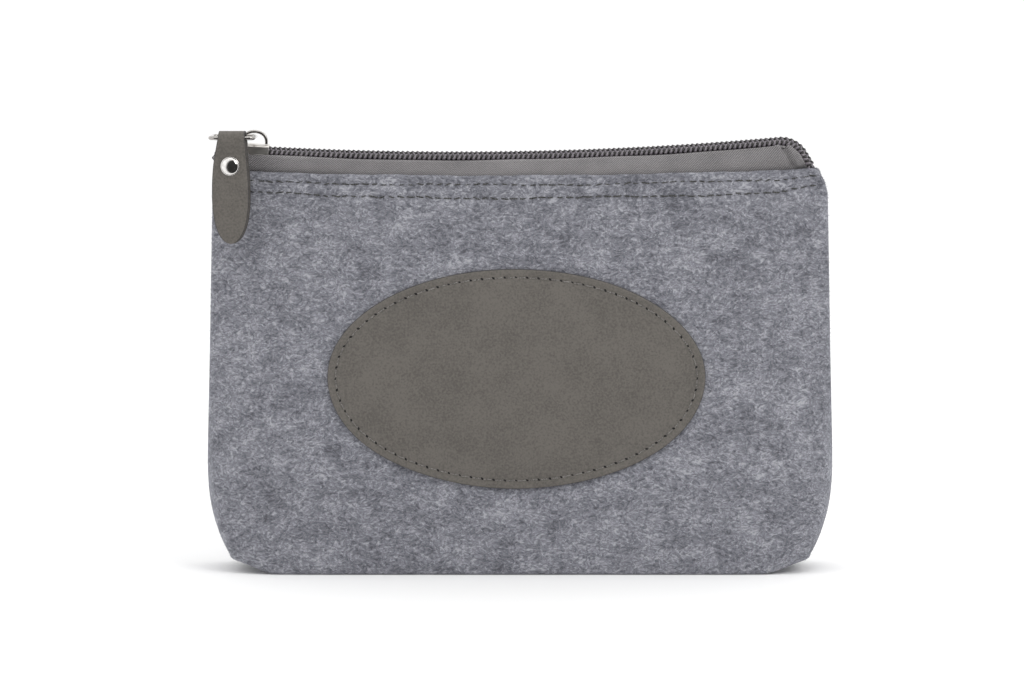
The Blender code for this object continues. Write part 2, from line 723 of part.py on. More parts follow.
def rivet(centre, finish, parent):
    face = STRAP_THICKNESS + STRAP_LAYER_GAP / 2 + GAP
    dome = [(0.0, -face - RIVET_CAP_HEIGHT)]
    for k in range(1, 5):
        turn = math.pi / 2 * k / 4
        dome.append((
            RIVET_CAP_RADIUS * math.sin(turn),
            -face - RIVET_RIM - (RIVET_CAP_HEIGHT - RIVET_RIM) * math.cos(turn),
        ))
    dome += [(RIVET_CAP_RADIUS, -face), (0.0, -face)]
    turned("rivet_cap", dome, centre, finish, parent)
    post = [
        (0.0, -face + GAP),
        (RIVET_SHANK_RADIUS, -face + GAP),
        (RIVET_SHANK_RADIUS, face),
        (RIVET_BASE_RADIUS, face),
        (RIVET_BASE_RADIUS, face + RIVET_BASE_HEIGHT / 2),
        (RIVET_BASE_RADIUS * 0.85, face + RIVET_BASE_HEIGHT),
        (0.0, face + RIVET_BASE_HEIGHT),
    ]
    turned("rivet_post", post, centre, finish, parent)


def empty(name, place, parent=None):
    item = bpy.data.objects.new(name, None)
    bpy.context.collection.objects.link(item)
    item.location = place
    bpy.context.view_layer.update()
    if parent is not None:
        item.parent = parent
        item.matrix_parent_inverse = parent.matrix_world.inverted()
        bpy.context.view_layer.update()
    return item


def build():
    clear_scene()
    felt = material("felt", FELT_COLOUR, 0.95)
    leatherette = material("leatherette", LEATHERETTE_COLOUR, 0.6)
    tape = material("zip_tape", TAPE_COLOUR, 0.85)
    nylon = material("nylon_coil", COIL_COLOUR, 0.45)
    thread = material("thread", THREAD_COLOUR, 0.8)
    steel = material("bright_steel", STEEL_COLOUR, 0.25, 1.0)

    felt_panel("front_felt_panel", 1, felt)
    felt_panel("back_felt_panel", -1, felt)
    oval_patch(leatherette)
    patch_stitching(thread)
    for face, side in (("front", 1), ("back", -1)):
        topstitch(f"topstitch_{face}_upper", TOPSTITCH_UPPER, side, thread)
        topstitch(f"topstitch_{face}_lower", TOPSTITCH_LOWER, side, thread)
    for hand, right in (("left", False), ("right", True)):
        side_seam_thread(f"side_seam_thread_{hand}", right, thread)
        corner_seam_thread(f"corner_seam_thread_{hand}", right, thread)
    bottom_seam_thread(thread)

    mouth = empty("mouth_front", (0.0, 0.0, CHAIN_HEIGHT))
    zipper_tape("zipper_tape_front", 1, tape, mouth)
    zipper_coil("zipper_coil_front", 1, nylon, mouth)
    zipper_tape("zipper_tape_back", -1, tape, None)
    zipper_coil("zipper_coil_back", -1, nylon, None)

    arc_centre = empty("zip_arc_centre", (CHAIN_CENTRE, 0.0, CHAIN_HEIGHT + CHAIN_RADIUS))
    slider_body(steel, arc_centre)
    slider_bridge(steel, arc_centre)
    ring_axis = empty("ring_axis", ring_pivot(), arc_centre)
    pull_ring(steel, ring_axis)
    strap_axis = empty("strap_axis", front_bar(), ring_axis)
    centre = pull_strap(leatherette, strap_axis)
    rivet(centre, steel, strap_axis)


build()
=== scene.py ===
"""Looks of the soft felt pouch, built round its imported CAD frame.

Frame: +Z up, +X to the right, the front faces -Y. All lengths are in metres, and textures are
laid in metres too, so a texture scale is a number of features per metre.
"""

import math

import bpy
import numpy as np
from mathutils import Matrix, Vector


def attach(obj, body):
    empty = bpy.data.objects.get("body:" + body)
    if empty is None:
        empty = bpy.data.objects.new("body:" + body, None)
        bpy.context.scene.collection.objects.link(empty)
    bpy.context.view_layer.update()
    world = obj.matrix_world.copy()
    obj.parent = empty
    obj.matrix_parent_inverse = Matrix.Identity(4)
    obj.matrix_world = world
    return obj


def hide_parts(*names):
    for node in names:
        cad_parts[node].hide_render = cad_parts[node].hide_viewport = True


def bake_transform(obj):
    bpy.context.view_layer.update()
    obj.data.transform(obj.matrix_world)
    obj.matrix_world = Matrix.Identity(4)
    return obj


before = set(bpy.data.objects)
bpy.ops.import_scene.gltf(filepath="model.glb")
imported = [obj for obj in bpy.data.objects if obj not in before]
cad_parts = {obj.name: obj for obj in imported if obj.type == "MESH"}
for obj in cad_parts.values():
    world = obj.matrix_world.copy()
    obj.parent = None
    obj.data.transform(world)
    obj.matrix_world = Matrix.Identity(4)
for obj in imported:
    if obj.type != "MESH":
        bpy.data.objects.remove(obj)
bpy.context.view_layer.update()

# ---- felt body, the CAD part's own sizes
BODY_WIDTH = 0.2016
BASE_INSET = 0.0079
BASE_WIDTH = BODY_WIDTH - 2 * BASE_INSET
WAIST_HEIGHT = 0.038
BODY_HEIGHT = 0.1274
BASE_DEPTH = 0.0320
MOUTH_DEPTH = 0.0146
FELT_THICKNESS = 0.0020
PROFILE_LEAN = 1.4
SEAM_ROUND = 0.0029
SIDE_CURVE = 2.8
SIDE_TAPER = 0.0019
TAPER_CURVE = 1.3
RIGHT_TUCK = 0.0039
LEFT_TUCK = 0.0004
TUCK_HEIGHT = 0.0105
TUCK_CURVE = 1.5
TUCK_ABOVE_EDGE = 0.0022
SECTION_FULLNESS = 2.3
BASE_FULLNESS = 7.0
BASE_SQUARENESS = 5.0
BASE_ROUND = 0.0016
BASE_LIFT = 0.0040
CORNER_LIFT_LENGTH = 0.0155
FLAT_BASE_WIDTH = BASE_WIDTH - 2 * CORNER_LIFT_LENGTH
EDGE_SAG = 0.18
SAG_CENTRE = -0.012

# ---- oval patch
PATCH_WIDTH = 0.1210
PATCH_HEIGHT = 0.0700
PATCH_CENTRE_X = -0.0013
PATCH_CENTRE_Z = 0.0630
PATCH_THICKNESS = 0.0011
PATCH_STITCH_INSET = 0.0027
PATCH_STITCHES = 80
PATCH_THREAD_RADIUS = 0.00024
NEEDLE_HOLE_LENGTH = 0.00062    # half of it
NEEDLE_HOLE_WIDTH = 0.00038     # half of it

# ---- rows of stitches under the felt's edge
TOPSTITCH_ROWS = (0.0027, 0.0069)
TOPSTITCH_INSET = 0.0040
STITCH_PITCH = 0.0030
STITCH_LENGTH = 0.0027
THREAD_RADIUS = 0.00022

# ---- zip
CHAIN_ABOVE_EDGE = 0.00617
CHAIN_HEIGHT = BODY_HEIGHT + CHAIN_ABOVE_EDGE
CHAIN_RADIUS = 1.14
CHAIN_CENTRE = -0.020
CHAIN_TILT = math.radians(2)
LEFT_BEND_INSET = 0.0081
RIGHT_BEND_INSET = 0.0176
CHAIN_LEFT = LEFT_BEND_INSET - BODY_WIDTH / 2
CHAIN_RIGHT = BODY_WIDTH / 2 - RIGHT_BEND_INSET
LEFT_BEND_RADIUS = 0.0050
LEFT_BEND = math.radians(70)
LEFT_TAIL = 0.0020
RIGHT_BEND_RADIUS = 0.0083
RIGHT_BEND = math.radians(64)
RIGHT_TAIL = 0.0058
COIL_RADIUS = 0.0009
GAP = 0.0003
COIL_PITCH = 0.00158
FILAMENT_RADIUS = 0.00042   # where a loop turns at the tape; its head is slimmer
HEAD_RADIUS = 0.00036
LOOP_CENTRE = 0.00118       # loop's middle, from the chain's middle line
LOOP_REACH = 0.00142        # half a loop's width, so the heads cross the middle line
LOOP_HEIGHT = 0.00030       # half its height
LOOP_LEAN = math.radians(18)    # the loops lean forwards on their tapes
CORE_RADIUS = 0.00034
CORE_ACROSS = 0.00150
SEWING_RADIUS = 0.00016     # thread that sews a coil to its tape
SEWING_ACROSS = 0.00155
TAPE_THICKNESS = 0.0005
TAPE_INNER = 0.0008
TAPE_SHOULDER = 0.0038
TAPE_BELOW_EDGE = 0.0090
TAPE_END_INSET = 0.0022

# ---- slider, ring, strap and rivet
SLIDER_FROM_BEND = 0.0063
SLIDER_X = CHAIN_LEFT + SLIDER_FROM_BEND
SLIDER_LENGTH = 0.0117
PLATE_WIDTH = 0.0086
TOP_PLATE = 0.0007
FLANGE = 0.0009
FLANGE_DROP = 0.0023
BOTTOM_PLATE = 0.0009
BOTTOM_WIDTH = 0.0042
WEDGE_WIDTH = 0.0007
BRIDGE_LENGTH = 0.0086
BRIDGE_HEIGHT = 0.0043
BRIDGE_WIDTH = 0.0024
BRIDGE_WALL = 0.0010
BRIDGE_SHIFT = 0.0011
WIRE_RADIUS = 0.00065
RING_LENGTH = 0.0137
RING_FRONT = 0.0112
RING_BACK = 0.0024
RING_CORNER = 0.0015
RING_SHIFT = 0.0001
RING_IN_HOLE = 0.0022
STRAP_THICKNESS = 0.0012
STRAP_LENGTH = 0.0360
STRAP_TOP_WIDTH = 0.0081
STRAP_FLARE = 1.05
STRAP_WIDTH = 0.0118
STRAP_WIDEST = 0.54
STRAP_LAYER_GAP = 0.0003
STRAP_FOLD_GAP = 0.0005
STRAP_SHIFT = 0.0058
STRAP_CENTRE_X = SLIDER_X - STRAP_SHIFT
BACK_LAYER_SHIFT = 0.00045  # the strap's back layer shows this much at the right
STRAP_LEAN = 0.0005          # its upper part leans right by this
STRAP_LEAN_LENGTH = 0.012
RIVET_DROP = 0.0112
RIVET_CAP_RADIUS = 0.00305
RIVET_CAP_HEIGHT = 0.0015
RIVET_SHANK_RADIUS = 0.0009
RIVET_BASE_RADIUS = 0.0026
RIVET_BASE_HEIGHT = 0.0006

# ---- (start, end) of each blend for the front of the mouth as the zip opens; place_on receives them but does not apply them
FELT_BENDS = {
    "left": ((-0.098, 0.0, 0.1290), (-0.0890, 0.0, 0.1565)),
    "right": ((0.086, 0.0, 0.1290), (0.0761, 0.0, 0.1557)),
}
CHAIN_BENDS = {
    "left": ((-0.098, 0.0, 0.13), (0.0, 0.0, 0.13)),
    "right": ((0.086, 0.0, 0.13), (0.0, 0.0, 0.13)),
}
SIDES = ("left", "right")

chance = np.random.default_rng(7)


# ---------------------------------------------------------------- mesh helpers

class Shape:
    """Points and faces gathered from several solids before they become one object."""

    def __init__(self):
        self.points = []
        self.faces = []
        self.uvs = []
        self.count = 0

    def add(self, points, faces, uvs=None):
        points = np.asarray(points, float).reshape(-1, 3)
        self.points.append(points)
        self.uvs.append(np.zeros((len(points), 2)) if uvs is None else np.asarray(uvs).reshape(-1, 2))
        for block in faces:
            self.faces.append(np.asarray(block) + self.count)
        self.count += len(points)

    def build(self, name, finish, smooth_angle=None):
        points = np.concatenate(self.points)
        uvs = np.concatenate(self.uvs)
        faces = [tuple(int(i) for i in face) for block in self.faces for face in block]
        mesh = bpy.data.meshes.new(name)
        mesh.from_pydata([tuple(p) for p in points], [], faces)
        layer = mesh.uv_layers.new(name="metres")
        corners = np.zeros(len(mesh.loops), np.int32)
        mesh.loops.foreach_get("vertex_index", corners)
        layer.data.foreach_set("uv", uvs[corners].astype(np.float32).ravel())
        mesh.shade_smooth()
        if smooth_angle is not None:
            mesh.set_sharp_from_angle(angle=smooth_angle)
        mesh.materials.append(finish)
        item = bpy.data.objects.new(name, mesh)
        bpy.context.collection.objects.link(item)
        return item


def unit(vectors):
    lengths = np.linalg.norm(vectors, axis=-1, keepdims=True)
    return vectors / np.maximum(lengths, 1e-12)


def smooth_step(t):
    t = np.clip(t, 0.0, 1.0)
    return t * t * (3.0 - 2.0 * t)


def bell(distance, width):
    return np.exp(-((distance / width) ** 2))


def grid_faces(rows, columns, wrap=False):
    """Quads of a grid of points; with wrap, the last column joins the first."""
    across = columns if wrap else columns - 1
    r, c = np.meshgrid(np.arange(rows - 1), np.arange(across), indexing="ij")
    following = (c + 1) % columns
    quads = np.stack(
        [r * columns + c, r * columns + following, (r + 1) * columns + following, (r + 1) * columns + c],
        axis=-1,
    )
    return quads.reshape(-1, 4)


def grid_normals(grid):
    """Unit normals of a grid, from the directions of its rows and columns."""
    return unit(np.cross(np.gradient(grid, axis=1), np.gradient(grid, axis=0)))


def lofted(rings):
    """Points and faces of a solid through equal rings of points, closed at both ends."""
    rings = np.asarray(rings)
    count, around = rings.shape[:2]
    first = np.arange(around)
    ends = [first[::-1][None], (first + (count - 1) * around)[None]]
    return rings, [grid_faces(count, around, wrap=True), *ends]


def sweep(path, radius, sides=8, closed=False):
    """Points and faces of a round bar along a path."""
    path = np.asarray(path, float)
    count = len(path)
    if closed:
        ahead = unit(np.roll(path, -1, axis=0) - np.roll(path, 1, axis=0))
    else:
        ahead = unit(np.gradient(path, axis=0))
    normals = np.zeros_like(path)
    guess = np.array([0.0, 0.0, 1.0]) if abs(ahead[0, 2]) < 0.9 else np.array([1.0, 0.0, 0.0])
    normals[0] = unit(guess - ahead[0] * guess.dot(ahead[0]))
    for k in range(1, count):
        carried = normals[k - 1] - ahead[k] * normals[k - 1].dot(ahead[k])
        normals[k] = unit(carried)
    others = np.cross(ahead, normals)
    turns = 2 * math.pi * np.arange(sides) / sides
    radii = np.broadcast_to(np.asarray(radius, float), (count,))[:, None, None]
    rings = normals[:, None] * np.cos(turns)[:, None] + others[:, None] * np.sin(turns)[:, None]
    points = path[:, None] + rings * radii
    if closed:
        joined = grid_faces(count + 1, sides, wrap=True) % (count * sides)
        return points, [joined]
    return lofted(points)


def twisted(path, radius, turns_per_metre, phase=0.0):
    """Two strands wound round each other along a path, as (points, faces) pairs."""
    path = np.asarray(path, float)
    ahead = unit(np.gradient(path, axis=0))
    guess = np.array([0.31, -0.17, 0.94])
    normals = unit(guess - ahead * (ahead @ guess)[:, None])
    others = np.cross(ahead, normals)
    run = np.concatenate([[0.0], np.cumsum(np.linalg.norm(np.diff(path, axis=0), axis=1))])
    strands = []
    for start in (0.0, math.pi):
        turn = 2 * math.pi * turns_per_metre * run + start + phase
        offset = normals * np.cos(turn)[:, None] + others * np.sin(turn)[:, None]
        strands.append(sweep(path + offset * radius * 0.5, radius * 0.58, sides=6))
    return strands


def place_on(item, bodies, replaced=(), bend=None):
    """Attach a finished piece to its body, or only bake its transform when a bend is given, and hide the
    nodes it stands for.
    """
    if bend is None:
        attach(item, bodies)
    else:
        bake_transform(item)
    if replaced:
        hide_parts(*replaced)
    return item


# ---------------------------------------------------------------- material helpers

def add_node(tree, kind, links=None, **settings):
    made = tree.nodes.new(kind)
    for key, value in settings.items():
        setattr(made, key, value)
    for socket, value in (links or {}).items():
        if isinstance(value, bpy.types.NodeSocket):
            tree.links.new(value, made.inputs[socket])
        else:
            made.inputs[socket].default_value = value
    return made


def new_material(name, **constants):
    """A Principled material; a constant's name is its socket's, with _ for each space."""
    made = bpy.data.materials.new(name)
    made.use_nodes = True
    surface = made.node_tree.nodes["Principled BSDF"]
    for key, value in constants.items():
        surface.inputs[key.replace("_", " ")].default_value = value
    return made, made.node_tree, surface


def object_place(tree, stretch=(1.0, 1.0, 1.0)):
    source = add_node(tree, "ShaderNodeTexCoord").outputs["Object"]
    if stretch == (1.0, 1.0, 1.0):
        return source
    return add_node(tree, "ShaderNodeMapping", {"Vector": source, "Scale": stretch}).outputs["Vector"]


def warped(tree, place, scale, amount):
    """Push a texture's place about by a slower noise, which makes its features swirl."""
    push = add_node(tree, "ShaderNodeTexNoise", {"Vector": place, "Scale": scale, "Detail": 2.0})
    centred = add_node(
        tree, "ShaderNodeVectorMath",
        {0: push.outputs["Color"], 1: (0.5, 0.5, 0.5)}, operation="SUBTRACT",
    )
    sized = add_node(
        tree, "ShaderNodeVectorMath", {0: centred.outputs[0], "Scale": amount}, operation="SCALE",
    )
    moved = add_node(
        tree, "ShaderNodeVectorMath", {0: place, 1: sized.outputs[0]}, operation="ADD",
    )
    return moved.outputs[0]


def noise(tree, place, scale, detail=2.0, roughness=0.5, distortion=0.0):
    made = add_node(
        tree, "ShaderNodeTexNoise",
        {"Vector": place, "Scale": scale, "Detail": detail, "Roughness": roughness, "Distortion": distortion},
    )
    return made.outputs["Fac"]


def strands(tree, place, scale, width, shift):
    """1 on thin wandering lines, where a noise crosses its middle value, and 0 between them."""
    moved = add_node(tree, "ShaderNodeMapping", {"Vector": place, "Location": (shift, -shift, shift * 2)})
    value = noise(tree, moved.outputs["Vector"], scale, detail=1.0, roughness=0.4)
    offset = add_node(tree, "ShaderNodeMath", {0: value, 1: 0.5}, operation="SUBTRACT")
    distance = add_node(tree, "ShaderNodeMath", {0: offset.outputs[0]}, operation="ABSOLUTE")
    line = add_node(
        tree, "ShaderNodeMapRange",
        {"Value": distance.outputs[0], "From Min": 0.0, "From Max": width, "To Min": 1.0, "To Max": 0.0},
    )
    return line.outputs["Result"]


def mixed(tree, parts):
    """Weighted sum of (value, weight) pairs."""
    total = None
    for value, weight in parts:
        if total is None:
            node = add_node(tree, "ShaderNodeMath", {0: value, 1: weight}, operation="MULTIPLY")
        else:
            node = add_node(tree, "ShaderNodeMath", {0: value, 1: weight, 2: total}, operation="MULTIPLY_ADD")
        total = node.outputs[0]
    return total


def ramp(tree, value, stops):
    """Colours over a value; stops are (position, (r, g, b)) pairs in linear light."""
    node = add_node(tree, "ShaderNodeValToRGB", {"Fac": value})
    elements = node.color_ramp.elements
    while len(elements) < len(stops):
        elements.new(0.5)
    for element, (position, colour) in zip(elements, stops):
        element.position = position
        element.color = (*colour, 1.0)
    return node.outputs["Color"]


def rough(tree, value, low, high):
    """Carry a 0 to 1 value into a range of roughness."""
    node = add_node(tree, "ShaderNodeMapRange", {"Value": value, "To Min": low, "To Max": high})
    return node.outputs["Result"]


def bump(tree, surface, height, distance, strength=1.0):
    node = add_node(tree, "ShaderNodeBump", {"Height": height, "Distance": distance, "Strength": strength})
    tree.links.new(node.outputs["Normal"], surface.inputs["Normal"])


# ---------------------------------------------------------------- materials

def felt_material():
    """Grey melange felt: thin light and dark fibres that swirl over soft darker clouds."""
    made, tree, surface = new_material(
        "felt", Roughness=0.95, Sheen_Weight=0.25, Sheen_Roughness=0.6, Sheen_Tint=(0.8, 0.82, 0.88, 1.0),
    )
    surface.inputs["Specular IOR Level"].default_value = 0.15
    place = object_place(tree, (0.75, 1.0, 1.15))
    swirl = warped(tree, place, 230.0, 0.0040)
    loose = warped(tree, place, 120.0, 0.0070)
    fibre = noise(tree, swirl, 1150.0, detail=3.0, roughness=0.65, distortion=0.4)
    cloud = noise(tree, place, 230.0, detail=2.0)
    blotch = noise(tree, place, 85.0, detail=2.0, roughness=0.5)
    tone = mixed(tree, [
        (fibre, 0.44), (cloud, 0.22), (blotch, 0.20), (0.5, 0.14),
        (strands(tree, swirl, 420.0, 0.050, 0.3), 0.075),
        (strands(tree, loose, 560.0, 0.060, 1.7), 0.065),
        (strands(tree, swirl, 760.0, 0.060, 4.1), 0.050),
        (strands(tree, loose, 400.0, 0.050, 6.4), -0.080),
        (strands(tree, swirl, 620.0, 0.060, 8.9), -0.065),
    ])
    colour = ramp(tree, tone, [
        (0.36, (0.086, 0.087, 0.101)),
        (0.46, (0.154, 0.156, 0.179)),
        (0.55, (0.229, 0.231, 0.259)),
        (0.66, (0.384, 0.387, 0.420)),
    ])
    tree.links.new(colour, surface.inputs["Base Color"])
    bump(tree, surface, tone, 0.0011, 0.55)
    return made


def leather_material(name, base, edge=False):
    """Matt leatherette: fine pebble grain, faint cloudiness."""
    made, tree, surface = new_material(name)
    surface.inputs["Specular IOR Level"].default_value = 0.35
    place = object_place(tree)
    grain = add_node(
        tree, "ShaderNodeTexVoronoi",
        {"Vector": warped(tree, place, 900.0, 0.0006), "Scale": 1700.0}, feature="SMOOTH_F1",
    ).outputs["Distance"]
    speck = noise(tree, place, 1500.0, detail=2.0)
    cloud = noise(tree, warped(tree, place, 60.0, 0.01), 110.0, detail=3.0, roughness=0.6)
    tone = mixed(tree, [(speck, 0.48), (cloud, 0.32), (grain, 0.2)])
    spread = 0.19 if not edge else 0.25
    dark = tuple(c * (1.0 - spread) for c in base)
    light = tuple(c * (1.0 + spread) for c in base)
    tree.links.new(ramp(tree, tone, [(0.36, dark), (0.56, light)]), surface.inputs["Base Color"])
    tree.links.new(rough(tree, cloud, 0.50, 0.72), surface.inputs["Roughness"])
    bump(tree, surface, mixed(tree, [(grain, 0.8), (speck, 0.2)]), 0.00009, 0.7)
    return made


def weave_material():
    """Woven zip tape in a fine twill that climbs to the right."""
    made, tree, surface = new_material("zip_tape_weave", Roughness=0.85, Sheen_Weight=0.15)
    surface.inputs["Specular IOR Level"].default_value = 0.2
    source = add_node(tree, "ShaderNodeTexCoord").outputs["UV"]
    turned_place = add_node(
        tree, "ShaderNodeMapping", {"Vector": source, "Rotation": (0.0, 0.0, math.radians(52))},
    ).outputs["Vector"]
    twill = add_node(
        tree, "ShaderNodeTexWave",
        {"Vector": turned_place, "Scale": 640.0, "Distortion": 0.5, "Detail": 1.0, "Detail Scale": 2.0},
        wave_type="BANDS", bands_direction="X",
    ).outputs["Fac"]
    threads = noise(tree, source, 2600.0, detail=1.0)
    soil = noise(tree, object_place(tree), 120.0, detail=3.0)
    tone = mixed(tree, [(twill, 0.36), (threads, 0.36), (soil, 0.28)])
    colour = ramp(tree, tone, [
        (0.32, (0.130, 0.124, 0.130)),
        (0.50, (0.218, 0.209, 0.212)),
        (0.70, (0.310, 0.298, 0.298)),
    ])
    tree.links.new(colour, surface.inputs["Base Color"])
    bump(tree, surface, mixed(tree, [(twill, 0.7), (threads, 0.3)]), 0.00016, 0.9)
    return made


def nylon_material():
    """Nylon monofilament, dark purplish grey with a soft gloss."""
    made, tree, surface = new_material("nylon_coil")
    surface.inputs["Specular IOR Level"].default_value = 0.55
    place = object_place(tree)
    tone = noise(tree, place, 700.0, detail=2.0)
    colour = ramp(tree, tone, [(0.35, (0.085, 0.074, 0.090)), (0.65, (0.165, 0.146, 0.162))])
    tree.links.new(colour, surface.inputs["Base Color"])
    tree.links.new(rough(tree, tone, 0.30, 0.48), surface.inputs["Roughness"])
    return made


def thread_material(name, dark, light):
    """Spun sewing thread with fine lint."""
    made, tree, surface = new_material(name, Roughness=0.8, Sheen_Weight=0.3)
    surface.inputs["Specular IOR Level"].default_value = 0.25
    tone = noise(tree, object_place(tree), 2400.0, detail=2.0)
    tree.links.new(ramp(tree, tone, [(0.38, dark), (0.62, light)]), surface.inputs["Base Color"])
    bump(tree, surface, tone, 0.00006)
    return made


def metal_material(name, base, smooth, brushed):
    """Plated zinc: bright, with hairline brushing and faint smudges."""
    made, tree, surface = new_material(name, Metallic=1.0)
    place = object_place(tree, (120.0, 2600.0, 2600.0) if brushed else (1.0, 1.0, 1.0))
    line = noise(tree, place, 1.0 if brushed else 900.0, detail=3.0)
    smudge = noise(tree, object_place(tree), 260.0, detail=3.0)
    dull = tuple(c * 0.78 for c in base)
    colour = ramp(tree, mixed(tree, [(line, 0.6), (smudge, 0.4)]), [(0.38, dull), (0.60, base)])
    tree.links.new(colour, surface.inputs["Base Color"])
    tree.links.new(rough(tree, smudge, smooth, smooth + 0.12), surface.inputs["Roughness"])
    bump(tree, surface, line, 0.00003 if brushed else 0.000004, 0.6)
    return made


FELT = felt_material()
LEATHER = leather_material("leatherette", (0.117, 0.107, 0.0955))
# Dark edge finish: edge paint on the strap's sides, and painted shade on the patch's rim for the thin shadow
# line round its outline.
LEATHER_EDGE_PAINT_AND_SHADE = leather_material("leatherette_edge_paint_and_shade", (0.060, 0.056, 0.054), edge=True)
WEAVE = weave_material()
NYLON = nylon_material()
DARK_THREAD = thread_material("felt_thread", (0.022, 0.022, 0.020), (0.075, 0.074, 0.066))
PATCH_THREAD = thread_material("patch_thread", (0.085, 0.079, 0.072), (0.250, 0.236, 0.220))
# Painted shade: near-black finish for the domes that stand in for the shade inside the needle holes.
HOLE_SHADE = thread_material("needle_hole_shade", (0.006, 0.006, 0.006), (0.014, 0.013, 0.012))
BRUSHED = metal_material("slider_metal", (0.80, 0.77, 0.73), 0.34, brushed=True)
CROWN = metal_material("crown_metal", (0.46, 0.44, 0.42), 0.10, brushed=False)
CHROME = metal_material("bright_metal", (0.83, 0.81, 0.79), 0.05, brushed=False)


# ---------------------------------------------------------------- shape of the felt body

def felt_top(x):
    return BODY_HEIGHT + EDGE_SAG * (x - SAG_CENTRE) ** 2


def half_width(level, right):
    """Distance from the middle to a side seam at a level."""
    z = level + BASE_LIFT * (1.0 - level / BODY_HEIGHT)
    below = np.maximum((WAIST_HEIGHT - z) / (WAIST_HEIGHT - BASE_LIFT), 0.0)
    above = np.maximum((z - WAIST_HEIGHT) / (BODY_HEIGHT - WAIST_HEIGHT), 0.0)
    start = BODY_HEIGHT + TUCK_ABOVE_EDGE - TUCK_HEIGHT
    tuck = np.where(right, RIGHT_TUCK, LEFT_TUCK)
    tucked = tuck * np.maximum((z - start) / TUCK_HEIGHT, 0.0) ** TUCK_CURVE
    return BODY_WIDTH / 2 - BASE_INSET * below ** SIDE_CURVE - SIDE_TAPER * above ** TAPER_CURVE - tucked


def half_depth(level):
    share = np.clip(level / BODY_HEIGHT, 0.0, 1.0)
    bulge = np.maximum(np.cos(math.pi / 2 * share), 0.0) ** PROFILE_LEAN
    return MOUTH_DEPTH / 2 + (BASE_DEPTH - MOUTH_DEPTH) / 2 * bulge


# slow unevenness of the cloth: (height, waves along x, waves along z, phase)
RIPPLES = (
    (0.00026, 61.0, 23.0, 0.4),
    (0.00020, -35.0, 74.0, 2.1),
    (0.00014, 118.0, -52.0, 4.0),
    (0.00010, 90.0, 160.0, 1.2),
)


def ripple(x, level, width):
    """Slow unevenness of the cloth, which dies away at the seams, the base and the mouth."""
    total = 0.0
    for height, along, up, phase in RIPPLES:
        total = total + height * np.sin(along * x + up * level + phase)
    fade = smooth_step((width - np.abs(x) - 0.004) / 0.014)
    fade = fade * smooth_step((BODY_HEIGHT - level - 0.010) / 0.014)
    return total * fade * smooth_step((level - 0.004) / 0.012)


def face_depth(x, level):
    """Outer face's distance from the middle plane."""
    width = half_width(level, x > 0)
    share = np.clip(level / BODY_HEIGHT, 0.0, 1.0)
    fullness = SECTION_FULLNESS + BASE_FULLNESS * (1.0 - share) ** 3
    squareness = 1.0 + BASE_SQUARENESS * (1.0 - share) ** 4
    u = np.minimum(np.abs(x) / width, 1.0)
    into_round = np.clip((np.abs(x) - (width - SEAM_ROUND)) / SEAM_ROUND, 0.0, 1.0)
    end = np.sqrt(1.0 - into_round ** 2) * SEAM_ROUND
    depth = end + (half_depth(level) - SEAM_ROUND) * (1.0 - u ** fullness) ** (1.0 / squareness)
    return depth + ripple(x, level, width)


def ground_lift(x):
    """The boxed corners curl up off the ground."""
    flat = FLAT_BASE_WIDTH / 2
    return BASE_LIFT * smooth_step((np.abs(x) - flat) / (BASE_WIDTH / 2 - flat))


def row_wander(x, row):
    """How far a row of stitches strays up or down."""
    slow = 0.00020 * np.sin(95.0 * x + 2.3 * row) + 0.00012 * np.sin(310.0 * x + 1.1 + row)
    return slow + 0.00009 * np.sin(1400.0 * x + row)


def row_below(x, row):
    """Distance of a row of stitches below the felt's edge; the rows climb into the corners."""
    right = 0.0016 * smooth_step((x - 0.082) / 0.014) * (0.4 + 0.6 * row)
    left = 0.0010 * smooth_step((-0.052 - x) / 0.025) * row
    return TOPSTITCH_ROWS[row] + row_wander(x, row) - right - left


def patch_radius(turn, inset=0.0):
    """(x, z) reach of the patch's outline at a turn; it was cut by hand and wobbles slightly."""
    wobble = 1.0 + 0.0018 * np.sin(3 * turn + 1.0) + 0.0012 * np.sin(7 * turn + 0.3)
    return (PATCH_WIDTH / 2 - inset) * wobble, (PATCH_HEIGHT / 2 - inset) * wobble


def relief(x, z, from_seam):
    """How far the felt's outer face is pressed in or puffs out."""
    below = felt_top(x) - z
    total = np.zeros_like(x)
    for row in range(len(TOPSTITCH_ROWS)):
        reach = 0.5 + 0.5 * smooth_step((from_seam - TOPSTITCH_INSET + 0.001) / 0.002)
        pulled = 0.75 + 0.25 * np.cos(2 * math.pi * x / STITCH_PITCH)
        total -= 0.00042 * bell(below - row_below(x, row), 0.00095) * pulled * reach
    total += 0.00016 * bell(below - 0.0048, 0.0011)
    total -= 0.00062 * bell(from_seam, 0.0011)
    total += 0.00022 * bell(from_seam - 0.0026, 0.0014)
    out_x = (x - PATCH_CENTRE_X) / (PATCH_WIDTH / 2)
    out_z = (z - PATCH_CENTRE_Z) / (PATCH_HEIGHT / 2)
    outside = (np.hypot(out_x, out_z) - 1.0) * PATCH_HEIGHT / 2
    return total - 0.00022 * bell(outside, 0.0016)


def edge_waver(x):
    """Slight unevenness of the cut top edge."""
    return 0.00010 * np.sin(140.0 * x + 0.5) + 0.00008 * np.sin(420.0 * x) + 0.00005 * np.sin(1150.0 * x + 2)


# ---------------------------------------------------------------- felt panels

PANEL_HALF_COLUMNS = 118
TOP_ROW_STEP = 0.00042      # between rows where the stitches lie
TOP_ROWS = 24
FACE_ROWS = 92
TURN_ROWS = 5
BASE_ROWS = 12


